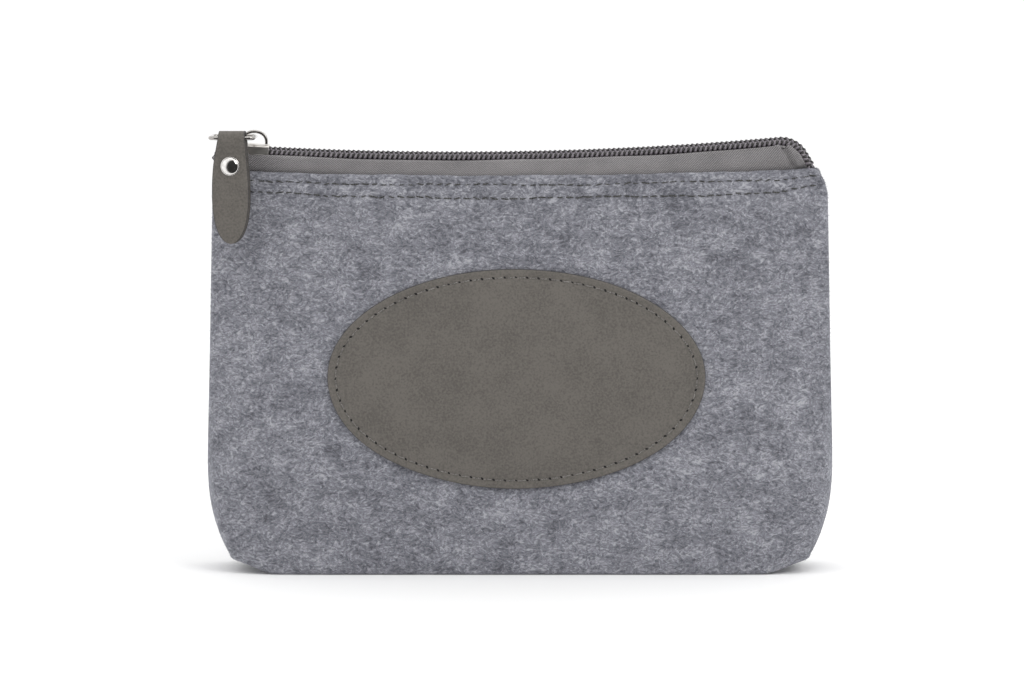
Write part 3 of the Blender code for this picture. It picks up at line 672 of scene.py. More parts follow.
def section(level):
    """A panel's outline at a level: x, depth and distance from the nearer side seam."""
    share = np.linspace(0.0, 1.0, PANEL_HALF_COLUMNS + 1)
    crowded = 1.0 - (1.0 - share) ** 1.25
    halves = []
    for sign in (-1.0, 1.0):
        turn = math.pi / 2 * np.linspace(0.0, 1.0, 500)
        x = sign * np.sin(turn) * half_width(level, sign > 0)
        depth = face_depth(x, level)
        run = np.concatenate([[0.0], np.cumsum(np.hypot(np.diff(x), np.diff(depth)))])
        wanted = crowded * run[-1]
        halves.append((np.interp(wanted, run, x), np.interp(wanted, run, depth), run[-1] - wanted))
    (xa, da, sa), (xb, db, sb) = halves
    return (
        np.concatenate([xa[::-1], xb[1:]]),
        np.concatenate([da[::-1], db[1:]]),
        np.concatenate([sa[::-1], sb[1:]]),
    )


def panel_levels():
    top = BODY_HEIGHT - np.arange(TOP_ROWS) * TOP_ROW_STEP
    share = (1.0 - np.arange(1, FACE_ROWS + 1) / FACE_ROWS) ** 1.12
    return np.concatenate([top, BASE_ROUND + (top[-1] - BASE_ROUND) * share])


def panel_outer():
    """Front panel's outer face, from its top edge to the base's middle, with seam distances."""
    rows, seams = [], []
    for level in panel_levels():
        x, depth, from_seam = section(level)
        low = BASE_ROUND + ground_lift(x)
        share = (level - BASE_ROUND) / (BODY_HEIGHT - BASE_ROUND)
        rows.append(np.stack([x, -depth, low + (felt_top(x) - low) * share], axis=1))
        seams.append(from_seam)
    x, depth, from_seam = section(BASE_ROUND)
    for turn in math.pi / 2 * np.arange(1, TURN_ROWS + 1) / TURN_ROWS:
        inset = BASE_ROUND * (1.0 - math.cos(turn))
        shrunk = x * (1.0 - inset / (BASE_WIDTH / 2))
        flatter = depth * (1.0 - inset / (BASE_DEPTH / 2))
        z = BASE_ROUND * (1.0 - math.sin(turn)) + ground_lift(shrunk)
        rows.append(np.stack([shrunk, -flatter, z], axis=1))
        seams.append(from_seam)
    edge = rows[-1]
    reach = edge[-1, 0] - BASE_ROUND
    spread = np.sign(x) * (1.0 - from_seam / np.max(from_seam))
    for share in 1.0 - np.arange(1, BASE_ROWS + 1) / BASE_ROWS:
        across = edge[:, 0] * share + reach * spread * (1.0 - share)
        rows.append(np.stack([across, edge[:, 1] * share, ground_lift(across)], axis=1))
        seams.append(np.minimum(from_seam, -rows[-1][:, 1]))
    return np.array(rows), np.array(seams)


def panel_grid():
    """The whole skin of the front panel: up its outer face, over its cut edge and down inside."""
    outer, seams = panel_outer()
    normals = grid_normals(outer)
    if normals[TOP_ROWS, PANEL_HALF_COLUMNS, 1] > 0:
        normals = -normals
    normals[-1] = normals[-2]
    for border in (normals[:, 0], normals[:, -1], normals[-1]):
        border[:, 1] = 0.0
        border[:] = unit(border)
    inner = outer - normals * FELT_THICKNESS
    inner[..., 1] = np.minimum(inner[..., 1], 0.0)
    outer = outer + normals * relief(outer[..., 0], outer[..., 2], seams)[..., None]
    outer[..., 1] = np.minimum(outer[..., 1], 0.0)
    corner = 0.00055
    sink = np.clip(1.0 - (felt_top(outer[..., 0]) - outer[..., 2]) / corner, 0.0, 1.0)
    outer -= normals * (corner * (1.0 - np.sqrt(1.0 - sink ** 2)))[..., None] * 0.7
    rim = []
    for k in range(1, 6):
        share = k / 6
        row = outer[0] * (1.0 - share) + inner[0] * share
        row[:, 2] += 0.00028 * math.sin(math.pi * share) ** 0.6
        rim.append(row)
    waver = np.clip(1.0 - (felt_top(outer[..., 0]) - outer[..., 2]) / 0.0018, 0.0, 1.0)
    outer[..., 2] += edge_waver(outer[..., 0]) * waver
    for row in (*rim, inner[0]):
        row[:, 2] += edge_waver(row[:, 0])
    return np.concatenate([outer[::-1], np.array(rim), inner]), len(outer)


def add_side_closure(shape, grid, face_rows, column):
    """Close a panel's side, where it meets the other panel at the seam."""
    rows = len(grid)
    line = grid[:, column]
    pairs = [(k, rows - 1 - k) for k in range(face_rows)]
    quads = [(a, a + 1, b - 1, b) for a, b in pairs[:-1]]
    cap = np.arange(face_rows - 1, rows - face_rows + 1)
    shape.add(line, [np.array(quads), cap[None]])


def felt_panels():
    """Front panel as two halves split at its middle, and the whole back panel."""
    grid, face_rows = panel_grid()
    rows, columns = grid.shape[:2]
    middle = columns // 2
    for name, columns_used, outer_column in (
        ("left", slice(0, middle + 1), 0),
        ("right", slice(middle, columns), -1),
    ):
        part = grid[:, columns_used]
        shape = Shape()
        shape.add(part, [grid_faces(rows, part.shape[1])])
        add_side_closure(shape, part, face_rows, outer_column)
        item = shape.build(f"front_felt_{name}", FELT, math.radians(70))
        replaced = ("front_felt_panel",)
        place_on(item, ("root", "mouth_front"), replaced, FELT_BENDS[name])
    mirrored = grid * np.array([1.0, -1.0, 1.0])
    shape = Shape()
    shape.add(mirrored, [grid_faces(rows, columns)[:, ::-1]])
    for column in (0, -1):
        add_side_closure(shape, mirrored, face_rows, column)
    item = shape.build("back_felt", FELT, math.radians(70))
    place_on(item, "root", ("back_felt_panel",))
    return grid, face_rows


def fibres(grid, face_rows):
    """Loose fibre ends that stand off the felt, thickest along its outline and cut edge."""
    outer = grid[:face_rows + 4]
    normals = grid_normals(grid)[:face_rows + 4]
    if normals[face_rows // 2, grid.shape[1] // 2, 1] > 0:
        normals = -normals
    rows, columns = outer.shape[:2]
    shapes = {"left": Shape(), "right": Shape(), "back": Shape()}
    for side in (1.0, -1.0):
        r = np.concatenate([
            chance.integers(0, rows - 1, 3600),
            chance.integers(0, rows - 1, 1500),
            chance.integers(rows - 9, rows - 1, 1700),
        ])
        c = np.concatenate([
            chance.integers(0, columns - 1, 3600),
            np.where(chance.random(1500) < 0.5, chance.integers(0, 12, 1500),
                     columns - 1 - chance.integers(1, 13, 1500)),
            chance.integers(0, columns - 1, 1700),
        ])
        mix = chance.random((len(r), 1))
        root = outer[r, c] * (1 - mix) + outer[r, c + 1] * mix
        out = normals[r, c]
        lean = chance.normal(size=(len(r), 3))
        start = unit(out * 0.7 + lean * 0.8)
        start += out * np.maximum(0.15 - (start * out).sum(axis=1, keepdims=True), 0.0)
        finish = unit(start + chance.normal(size=start.shape) * 0.9)
        length = chance.uniform(0.00025, 0.00085, (len(r), 1))
        across = unit(np.cross(start, lean)) * chance.uniform(0.000018, 0.00004, (len(r), 1))
        middle = root + unit(start) * length * 0.55
        tip = middle + finish * length * 0.45
        points = np.stack([root - across, root + across, middle - across, middle + across, tip], axis=1)
        points[..., 1] *= side
        points[..., 2] = np.maximum(points[..., 2], 0.00002)
        for name in shapes:
            if side < 0:
                chosen = np.full(len(r), name == "back")
            else:
                chosen = {"left": root[:, 0] < 0, "right": root[:, 0] >= 0}.get(name, np.zeros(len(r), bool))
            count = int(chosen.sum())
            if not count:
                continue
            first = 5 * np.arange(count)[:, None]
            quads = first + np.array([[0, 1, 3, 2]])
            tips = first + np.array([[2, 3, 4]])
            shapes[name].add(points[chosen], [quads, tips])
    for name in SIDES:
        item = shapes[name].build(f"front_felt_fibres_{name}", FELT)
        place_on(item, ("root", "mouth_front"), (), FELT_BENDS[name])
    place_on(shapes["back"].build("back_felt_fibres", FELT), "root")


# ---------------------------------------------------------------- topstitching

def on_felt(x, below, lift, side):
    """Points on the felt near its edge, raised by lift."""
    level = BODY_HEIGHT - below
    y = -(face_depth(x, level) + lift)
    return np.stack([x, y * side, felt_top(x) - below], axis=-1)


def topstitching():
    """Two rows of stitches that sink into the felt, some of them almost buried."""
    for row, row_name in enumerate(("upper", "lower")):
        left = -half_width(BODY_HEIGHT - TOPSTITCH_ROWS[row], False) + TOPSTITCH_INSET
        right = half_width(BODY_HEIGHT - TOPSTITCH_ROWS[row], True) - TOPSTITCH_INSET * 0.5
        shapes = {"left": Shape(), "right": Shape(), "back": Shape()}
        for side in (1.0, -1.0):
            for middle in np.arange(left, right, STITCH_PITCH):
                name = "back" if side < 0 else ("left" if middle < 0 else "right")
                t = np.linspace(-1.0, 1.0, 13)
                length = STITCH_LENGTH * chance.uniform(0.70, 1.12)
                x = middle + chance.normal() * 0.00012 + t * length / 2
                slant = chance.normal() * 0.00018
                below = row_below(x, row) + t * slant
                buried = chance.uniform(0.00024, 0.00050) if row == 0 else chance.uniform(0.00010, 0.00042)
                lift = THREAD_RADIUS * 0.9 - buried - 0.00055 * np.abs(t) ** 3
                if name != "back":
                    x = np.minimum(x, -1e-5) if name == "left" else np.maximum(x, 1e-5)
                path = on_felt(x, below, lift, side)
                for points, faces in twisted(path, THREAD_RADIUS, 700.0, middle * 900):
                    shapes[name].add(points, faces)
        for name in SIDES:
            item = shapes[name].build(f"topstitch_front_{row_name}_{name}", DARK_THREAD)
            replaced = (f"topstitch_front_{row_name}",)
            place_on(item, ("root", "mouth_front"), replaced, FELT_BENDS[name])
        item = shapes["back"].build(f"topstitch_back_{row_name}_stitches", DARK_THREAD)
        place_on(item, "root", (f"topstitch_back_{row_name}",))


# ---------------------------------------------------------------- oval patch

PATCH_AROUND = 320


def patch_surface(turn, inset, lift, share=1.0):
    """Points on the patch at an inset from its outline, drawn towards its middle by share."""
    reach_x, reach_z = (reach * share for reach in patch_radius(turn, inset))
    x = PATCH_CENTRE_X + reach_x * np.cos(turn)
    z = PATCH_CENTRE_Z + reach_z * np.sin(turn)
    return np.stack([x, -(face_depth(x, z) + lift), z], axis=-1)


def patch_lift(inset):
    """Height of the patch's face at an inset from its outline: rounded rim, then a sewn channel."""
    rim = 0.0006
    share = np.clip(inset / rim, 0.0, 1.0)
    height = PATCH_THICKNESS * (0.45 + 0.55 * np.sqrt(1.0 - (1.0 - share) ** 2))
    pressed = 0.00016 * bell(inset - PATCH_STITCH_INSET, 0.0009)
    return height - pressed


def oval_patch():
    turn = 2 * math.pi * np.arange(PATCH_AROUND) / PATCH_AROUND
    insets = np.concatenate([
        0.0006 * (1.0 - np.cos(np.linspace(0.0, math.pi / 2, 7))),
        np.linspace(0.0009, 0.0050, 15),
    ])
    rings = [patch_surface(turn, 0.0004, -0.00015), patch_surface(turn, 0.0, 0.0)]
    for inset in insets:
        pull = 0.00005 * np.cos(PATCH_STITCHES * turn) * bell(inset - PATCH_STITCH_INSET, 0.001)
        rings.append(patch_surface(turn, inset, patch_lift(inset) + pull))
    for share in np.linspace(0.97, 0.01, 32):
        rings.append(patch_surface(turn, insets[-1], PATCH_THICKNESS, share))
    shape = Shape()
    ring_faces = grid_faces(len(rings), PATCH_AROUND, wrap=True)
    middle = (np.arange(PATCH_AROUND) + (len(rings) - 1) * PATCH_AROUND)[None]
    shape.add(np.array(rings), [ring_faces, middle])
    item = shape.build("oval_patch_leather", LEATHER, math.radians(60))
    # The rim's outer bands take the dark edge finish: painted shade for the thin shadow line round the patch.
    item.data.materials.append(LEATHER_EDGE_PAINT_AND_SHADE)
    for polygon in item.data.polygons[:5 * PATCH_AROUND]:
        polygon.material_index = 1
    place_on(item, "root", ("oval_patch",))


def patch_stitching():
    """Stitches flush in their channel, between short slanted needle holes drawn as painted shade."""
    dense = np.linspace(0.0, 2 * math.pi, 4001)
    lift = float(patch_lift(PATCH_STITCH_INSET))
    line = patch_surface(dense, PATCH_STITCH_INSET, lift)
    run = np.concatenate([[0.0], np.cumsum(np.linalg.norm(np.diff(line, axis=0), axis=1))])
    threads, holes = Shape(), Shape()
    pitch = run[-1] / PATCH_STITCHES
    for number in range(PATCH_STITCHES):
        t = np.linspace(0.0, 1.0, 13)
        turn = np.interp((number + 0.08 + 0.84 * t) * pitch, run, dense)
        sunk = 0.00042 * np.abs(2 * t - 1) ** 4
        inset = PATCH_STITCH_INSET + (t - 0.5) * 0.00018
        reach_x, reach_z = patch_radius(turn, 0.0)
        x = PATCH_CENTRE_X + (reach_x - inset) * np.cos(turn)
        z = PATCH_CENTRE_Z + (reach_z - inset) * np.sin(turn)
        y = -(face_depth(x, z) + lift + 0.00008 - sunk)
        for points, faces in twisted(np.stack([x, y, z], axis=-1), PATCH_THREAD_RADIUS, 900.0, number * 1.7):
            threads.add(points, faces)
        here = float(np.interp(number * pitch, run, dense))
        holes.add(*needle_hole_shade(here, lift))
    item = threads.build("patch_stitches", PATCH_THREAD)
    place_on(item, "root", ("patch_stitching",))
    place_on(holes.build("patch_needle_hole_shade", HOLE_SHADE), "root")


def needle_hole_shade(turn, lift):
    """Painted shade of a needle hole: a small dark slanted slot, as a flattened dome a hair above the
    leather.
    """
    here = patch_surface(np.array([turn]), PATCH_STITCH_INSET, lift)[0]
    after = patch_surface(np.array([turn + 0.01]), PATCH_STITCH_INSET, lift)[0]
    along = unit(after - here)
    out = unit(np.array([0.0, -1.0, 0.0]) - along * -along[1])
    across = np.cross(along, out)
    slant = math.radians(38) + chance.normal() * 0.12
    long_way = along * math.cos(slant) + across * math.sin(slant)
    short_way = np.cross(long_way, out)
    around = 12
    turns = 2 * math.pi * np.arange(around) / around
    rings = []
    for reach, height in ((1.0, -0.00004), (0.75, 0.00004), (0.35, 0.00007)):
        ring = here + out * height
        rings.append(
            ring
            + long_way * (NEEDLE_HOLE_LENGTH * reach * np.cos(turns))[:, None]
            + short_way * (NEEDLE_HOLE_WIDTH * reach * np.sin(turns))[:, None]
        )
    faces = [grid_faces(3, around, wrap=True), (np.arange(around) + 2 * around)[None]]
    return np.array(rings), faces


# ---------------------------------------------------------------- zip chain and tapes

def chain_line():
    """x, z and slope along the chain's middle line, evenly spaced, and the spacing's distances."""
    x = np.linspace(CHAIN_LEFT, CHAIN_RIGHT, 500)
    slope = np.arcsin((x - CHAIN_CENTRE) / CHAIN_RADIUS)
    z = CHAIN_HEIGHT + CHAIN_RADIUS * (1.0 - np.cos(slope))
    line = np.stack([x, z, slope], axis=1)
    left = bend_away(line[0], -1, LEFT_BEND, LEFT_BEND_RADIUS, LEFT_TAIL)[::-1]
    right = bend_away(line[-1], 1, RIGHT_BEND, RIGHT_BEND_RADIUS, RIGHT_TAIL)
    line = np.concatenate([left, line, right])
    run = np.concatenate([[0.0], np.cumsum(np.hypot(np.diff(line[:, 0]), np.diff(line[:, 1])))])
    return line, run


def bend_away(start, way, turn, radius, tail):
    """Stations that carry the chain down round an end; way is its X direction."""
    x, z, slope = start
    out = []
    for k in range(1, 25):
        a = slope - way * turn * k / 24
        dx = way * radius * (math.sin(way * slope) - math.sin(way * a))
        dz = radius * (math.cos(way * a) - math.cos(way * slope))
        out.append((x + dx, z + dz, a))
    x, z, slope = out[-1]
    for share in (0.33, 0.67, 1.0):
        step = tail * share
        out.append((x + way * step * math.cos(slope), z + way * step * math.sin(slope), slope))
    return np.array(out)


CHAIN, CHAIN_RUN = chain_line()


def on_chain(distance, along, across, up):
    """World points at distances along the chain, moved by offsets in its own directions."""
    distance = np.asarray(distance, float)
    x, z, slope = (np.interp(distance, CHAIN_RUN, CHAIN[:, k]) for k in range(3))
    flat = np.zeros_like(x)
    ahead = np.stack([np.cos(slope), flat, np.sin(slope)], axis=-1)
    upright = np.stack([-np.sin(slope), flat, np.cos(slope)], axis=-1)
    back = np.array([0.0, 1.0, 0.0])
    aside = back * math.cos(CHAIN_TILT) + upright * math.sin(CHAIN_TILT)
    over = -back * math.sin(CHAIN_TILT) + upright * math.cos(CHAIN_TILT)
    offsets = [np.asarray(v, float)[..., None] * np.ones_like(x)[..., None] for v in (along, across, up)]
    return np.stack([x, flat, z], axis=-1) + ahead * offsets[0] + aside * offsets[1] + over * offsets[2]


def leaned(distance, across, up):
    """World points of the coils, whose two rows lean forwards together about the chain's middle."""
    lean_cos, lean_sin = math.cos(LOOP_LEAN), math.sin(LOOP_LEAN)
    return on_chain(distance, 0.0, across * lean_cos - up * lean_sin, across * lean_sin + up * lean_cos)


def run_at(x):
    return float(np.interp(x, CHAIN[:, 0], CHAIN_RUN))


def coil(side):
    """Centre line of one coil: each loop runs in under, turns at its head and comes back over."""
    steps = 20
    shift = 0.5 if side < 0 else 0.0
    loops = int(CHAIN_RUN[-1] / COIL_PITCH) - 1
    turn = 2 * math.pi * np.arange(loops * steps + 1) / steps
    whole = turn / (2 * math.pi)
    part = whole - np.floor(whole)
    step_over = smooth_step((np.abs(part - 0.5) * 2 - 0.0) / 1.0)
    stagger = np.where(part < 0.5, (1 - step_over) * 0.5, 0.5 + 0.5 * step_over)
    along = (np.floor(whole) + stagger) * COIL_PITCH
    wide = np.cos(turn)
    tall = np.sin(turn)
    across = -side * (LOOP_CENTRE + LOOP_REACH * np.sign(wide) * np.abs(wide) ** 0.8)
    up = LOOP_HEIGHT * np.sign(tall) * np.abs(tall) ** 0.7
    distance = along + (0.4 + shift) * COIL_PITCH
    radii = FILAMENT_RADIUS + (HEAD_RADIUS - FILAMENT_RADIUS) * smooth_step(-wide * 0.8 + 0.3)
    return leaned(distance, across, up), distance, radii


def zip_coils():
    """Both coils with their cores and sewing threads; the front ones are split in two halves."""
    for side in (1, -1):
        line, distance, radii = coil(side)
        sewn = sewn_line(side)
        if side < 0:
            shape = Shape()
            shape.add(*sweep(line, radii, 8))
            place_on(shape.build("coil_back_loops", NYLON), "root", ("zipper_coil_back",))
            # The core cord takes the dark thread finish: painted shade for the dark gaps between the loops.
            shape = Shape()
            shape.add(*sweep(core_line(side), CORE_RADIUS, 8))
            shape.add(*sweep(sewn, SEWING_RADIUS, 6))
            place_on(shape.build("coil_back_sewing_and_core_shade", DARK_THREAD), "root")
            continue
        cut = int(np.searchsorted(distance, run_at(0.0)))
        sewn_cut = int(np.searchsorted(sewn[:, 0], 0.0))
        core = core_line(side)
        core_cut = int(np.searchsorted(core[:, 0], 0.0))
        for half, loops, thickness, thread, core_part in (
            ("left", line[:cut + 1], radii[:cut + 1], sewn[:sewn_cut + 1], core[:core_cut + 1]),
            ("right", line[cut:], radii[cut:], sewn[sewn_cut:], core[core_cut:]),
        ):
            shape = Shape()
            shape.add(*sweep(loops, thickness, 8))
            item = shape.build(f"coil_front_loops_{half}", NYLON)
            place_on(item, ("root", "mouth_front"), ("zipper_coil_front",), CHAIN_BENDS[half])
            # The core cord takes the dark thread finish: painted shade for the dark gaps between the loops.
            shape = Shape()
            shape.add(*sweep(core_part, CORE_RADIUS, 8))
            shape.add(*sweep(thread, SEWING_RADIUS, 6))
            item = shape.build(f"coil_front_sewing_and_core_shade_{half}", DARK_THREAD)
            place_on(item, ("root", "mouth_front"), (), CHAIN_BENDS[half])


def core_line(side):
    """The cord that a coil is wound round; it is drawn dark, as painted shade between the loops."""
    distance = np.arange(0.0010, CHAIN_RUN[-1] - 0.0010, COIL_PITCH / 2)
    return leaned(distance, -side * CORE_ACROSS, 0.0)


def sewn_line(side):
    """The thread that sews a coil to its tape: it dips between the loops."""
    distance = np.arange(0.0012, CHAIN_RUN[-1] - 0.0012, COIL_PITCH / 8)
    phase = 2 * math.pi * distance / COIL_PITCH
    up = LOOP_HEIGHT + FILAMENT_RADIUS - 0.00006 - 0.00024 * (1 - np.cos(phase)) / 2
    return leaned(distance, -side * (SEWING_ACROSS + 0.00006 * np.sin(phase)), up)


def tape_depth(x, level):
    inner = face_depth(x, level) - FELT_THICKNESS - GAP
    return np.maximum(inner, GAP + TAPE_THICKNESS)


def tape_rows(side):
    """Control rows of a tape's outer face, from under the coil to its hidden edge behind the felt."""
    distance = np.linspace(0.0, CHAIN_RUN[-1], 420)
    stations = np.interp(distance, CHAIN_RUN, CHAIN[:, 0])
    low_left = float(-half_width(BODY_HEIGHT, False)) + FELT_THICKNESS + TAPE_END_INSET
    low_right = float(half_width(BODY_HEIGHT, True)) - FELT_THICKNESS - TAPE_END_INSET
    margin = 0.004
    x = stations.copy()
    left_run, right_run = run_at(low_left + margin), run_at(low_right - margin)
    near_left, near_right = distance < left_run, distance > right_run
    x[near_left] = low_left + margin * distance[near_left] / left_run
    remaining = (CHAIN_RUN[-1] - distance[near_right]) / (CHAIN_RUN[-1] - right_run)
    x[near_right] = low_right - margin * remaining
    under = -COIL_RADIUS - GAP
    tuck = 1.0 - 0.6 * smooth_step((distance - CHAIN_RUN[-1] + 0.0065) / 0.0055)
    raised = 0.0005 if side < 0 else 0.0
    rows = [
        on_chain(distance, 0.0, -side * TAPE_INNER * tuck, under + raised),
        on_chain(distance, 0.0, -side * (TAPE_SHOULDER - 0.0006) * tuck, under + raised),
        on_chain(distance, 0.0, -side * TAPE_SHOULDER * tuck, under - 0.0005),
    ]
    for below in (-0.0002, 0.0016, TAPE_BELOW_EDGE / 2, TAPE_BELOW_EDGE):
        y = -side * tape_depth(x, BODY_HEIGHT - below)
        rows.append(np.stack([x, y, felt_top(x) - below], axis=1))
    return np.array(rows), distance


def between_rows(rows, steps):
    """Catmull-Rom rows through the control rows, with their places among them."""
    padded = np.concatenate([rows[:1] * 2 - rows[1:2], rows, rows[-1:] * 2 - rows[-2:-1]])
    out, places = [], []
    for k in range(len(rows) - 1):
        a, b, c, d = padded[k:k + 4]
        for t in np.arange(steps) / steps:
            out.append(0.5 * (
                2 * b + (c - a) * t + (2 * a - 5 * b + 4 * c - d) * t ** 2
                + (3 * b - a - 3 * c + d) * t ** 3
            ))
            places.append(k + t)
    out.append(rows[-1])
    places.append(len(rows) - 1.0)
    return np.array(out), np.array(places)


def tape_wrinkles(points):
    """Folds in the tape: one sharp diagonal pleat near its right end, and slack along the rest."""
    x, z = points[..., 0], points[..., 2]
    slant = (x - 0.0868) + (z - 0.1322) * 0.5
    pleat = -0.00095 * bell(slant, 0.00080) + 0.00045 * bell(slant - 0.0017, 0.0008)
    pleat += 0.00030 * bell(slant + 0.0019, 0.0009)
    slack = 0.00010 * np.sin(70 * x + 0.7) + 0.00007 * np.sin(190 * x + 300 * z)
    seen = smooth_step((z - felt_top(x)) / 0.002)
    return (pleat + slack) * seen


def zip_tapes():
    """Both tapes; the front one is cut into upper and lower pieces, each in two halves."""
    for side in (1, -1):
        control, distance = tape_rows(side)
        rows, places = between_rows(control, 7)
        normals = grid_normals(rows)
        if normals[3, rows.shape[1] // 2, 2] < 0:
            normals = -normals
        rib = 0.00016 * bell(places - 1.95, 0.13)
        outer = rows + normals * (tape_wrinkles(rows) + rib[:, None])[..., None]
        inner = outer - normals * TAPE_THICKNESS
        drop = np.concatenate([
            [0.0], np.cumsum(np.linalg.norm(np.diff(rows[:, rows.shape[1] // 2], axis=0), axis=1)),
        ])
        uvs = np.stack(np.broadcast_arrays(distance[None, :], -drop[:, None]), axis=-1)
        if side < 0:
            shape = tape_piece(outer, inner, uvs)
            item = shape.build("tape_back_weave", WEAVE, math.radians(60))
            place_on(item, "root", ("zipper_tape_back",))
            continue
        column = int(np.searchsorted(rows[0, :, 0], 0.0))
        shown = int(np.searchsorted(places, 4.0)) + 1
        hidden = int(np.searchsorted(places, 3.7))
        for half, chosen in (("left", slice(0, column + 1)), ("right", slice(column, None))):
            for part, used, bend in (
                ("upper", slice(0, shown), CHAIN_BENDS[half]),
                ("lower", slice(hidden, None), FELT_BENDS[half]),
            ):
                shape = tape_piece(outer[used, chosen], inner[used, chosen], uvs[used, chosen])
                item = shape.build(f"tape_front_{part}_{half}", WEAVE, math.radians(60))
                place_on(item, ("root", "mouth_front"), ("zipper_tape_front",), bend)


def tape_piece(outer, inner, uvs):
    """A closed thin slab between a tape's two faces."""
    rows, columns = outer.shape[:2]
    count = rows * columns
    faces = grid_faces(rows, columns)
    border = [(0, c) for c in range(columns)]
    border += [(r, columns - 1) for r in range(1, rows)]
    border += [(rows - 1, c) for c in range(columns - 2, -1, -1)]
    border += [(r, 0) for r in range(rows - 2, 0, -1)]
    ring = np.array([r * columns + c for r, c in border])
    after = np.roll(ring, -1)
    wall = np.stack([ring, ring + count, after + count, after], axis=1)
    shape = Shape()
    points = np.stack([outer, inner])
    shape.add(points, [faces[:, ::-1], faces + count, wall], np.stack([uvs, uvs]))
    return shape


# ---------------------------------------------------------------- slider and ring

SLIDER_RUN = run_at(SLIDER_X)


def at_slider(along, across, up):
    """World points in the slider's own directions; it is straight, so the chain's sag is left out."""
    x, z, slope = (float(np.interp(SLIDER_RUN, CHAIN_RUN, CHAIN[:, k])) for k in range(3))
    ahead = np.array([math.cos(slope), 0.0, math.sin(slope)])
    upright = np.array([-math.sin(slope), 0.0, math.cos(slope)])
    back = np.array([0.0, 1.0, 0.0])
    aside = back * math.cos(CHAIN_TILT) + upright * math.sin(CHAIN_TILT)
    over = -back * math.sin(CHAIN_TILT) + upright * math.cos(CHAIN_TILT)
    parts = [np.asarray(v, float)[..., None] for v in (along, across, up)]
    return np.array([x, 0.0, z]) + ahead * parts[0] + aside * parts[1] + over * parts[2]


def bevel(item, width, segments=3):
    modifier = item.modifiers.new("rounded_edges", "BEVEL")
    modifier.width = width
    modifier.segments = segments
    modifier.limit_method = "ANGLE"
    modifier.angle_limit = math.radians(35)
    modifier.harden_normals = True


def slider_body():
    """Tapered top plate with side flanges, bottom plate, and the wedge between them."""
    roof = COIL_RADIUS + GAP
    floor = -COIL_RADIUS - 2 * GAP - TAPE_THICKNESS
    half = PLATE_WIDTH / 2
    drop = roof - FLANGE_DROP
    right_side = [
        (BOTTOM_WIDTH / 2, floor - BOTTOM_PLATE),
        (BOTTOM_WIDTH / 2, floor),
        (WEDGE_WIDTH / 2, floor),
        (WEDGE_WIDTH / 2, roof),
        (half - FLANGE, roof),
        (half - FLANGE, drop),
        (half, drop),
        (half, roof + TOP_PLATE * 0.55),
        (half - 0.0009, roof + TOP_PLATE),
    ]
    outline = np.array(right_side + [(-u, v) for u, v in reversed(right_side)])
    share = np.array([0.0, 0.08, 0.2, 0.45, 0.7, 0.9, 1.0])
    narrow = np.array([0.90, 0.965, 1.0, 1.0, 0.965, 0.90, 0.84])
    rows = []
    for s, n in zip(share, narrow):
        along = np.full(len(outline), (s - 0.5) * SLIDER_LENGTH)
        across = outline[:, 0].copy()
        wide = np.abs(across) > WEDGE_WIDTH
        across[wide] *= n
        rows.append(at_slider(along, across, outline[:, 1]))
    shape = Shape()
    shape.add(*lofted(rows))
    item = shape.build("slider_plates", BRUSHED, math.radians(30))
    bevel(item, 0.00022)
    place_on(item, "slider", ("slider_body",))


def slider_bridge():
    """The arch over the slider, with rounded edges, thinner at its crown than at its feet."""
    foot = COIL_RADIUS + 2 * GAP + TOP_PLATE
    steps = 28
    turn = math.pi * np.arange(steps + 1) / steps
    inner_x = (BRIDGE_LENGTH / 2 - BRIDGE_WALL) * np.cos(turn)
    inner_z = (BRIDGE_HEIGHT - BRIDGE_WALL) * np.sin(turn) ** 0.7
    outer_x = BRIDGE_LENGTH / 2 * np.cos(turn)
    outer_z = BRIDGE_HEIGHT * np.sin(turn) ** 0.7
    rings = []
    around = 16
    for k in range(steps + 1):
        centre_x, centre_z = (inner_x[k] + outer_x[k]) / 2, (inner_z[k] + outer_z[k]) / 2
        half_x, half_z = (outer_x[k] - inner_x[k]) / 2, (outer_z[k] - inner_z[k]) / 2
        angle = 2 * math.pi * np.arange(around) / around
        thick = np.sign(np.cos(angle)) * np.abs(np.cos(angle)) ** 0.55
        wide = np.sign(np.sin(angle)) * np.abs(np.sin(angle)) ** 0.55
        crown = 1.0 - 0.12 * math.sin(turn[k])
        rings.append(at_slider(
            centre_x + half_x * thick + BRIDGE_SHIFT,
            BRIDGE_WIDTH / 2 * wide * crown,
            centre_z + half_z * thick + foot,
        ))
    shape = Shape()
    shape.add(*lofted(rings))
    item = shape.build("slider_crown", CROWN, math.radians(60))
    place_on(item, "slider", ("slider_bridge",))


def ring_pivot():
    foot = COIL_RADIUS + 2 * GAP + TOP_PLATE
    return at_slider(BRIDGE_SHIFT + RING_SHIFT, 0.0, foot + RING_IN_HOLE)


def pull_ring():
    """Bent wire ring, closed by a fine butt joint in its back bar."""
    pivot = ring_pivot()
    left, right = pivot[0] - RING_LENGTH, pivot[0]
    points = []
    corners = (
        (right, RING_BACK, 0.0),
        (left, RING_BACK, 90.0),
        (left, -RING_FRONT, 180.0),
        (right, -RING_FRONT, 270.0),
    )
    for x, y, first in corners:
        centre_x = x + (RING_CORNER if x == left else -RING_CORNER)
        centre_y = y - RING_CORNER if y == RING_BACK else y + RING_CORNER
        for k in range(13):
            turn = math.radians(first + 90.0 * k / 12)
            points.append((
                centre_x + RING_CORNER * math.cos(turn),
                centre_y + RING_CORNER * math.sin(turn),
                pivot[2],
            ))
    shape = Shape()
    shape.add(*sweep(points, WIRE_RADIUS, 20, closed=True))
    place_on(shape.build("pull_ring_wire", CROWN), "ring", ("pull_ring",))


# ---------------------------------------------------------------- strap and rivet

def front_bar():
    pivot = ring_pivot()
    return np.array([pivot[0] - RING_LENGTH / 2, -RING_FRONT, pivot[2]])


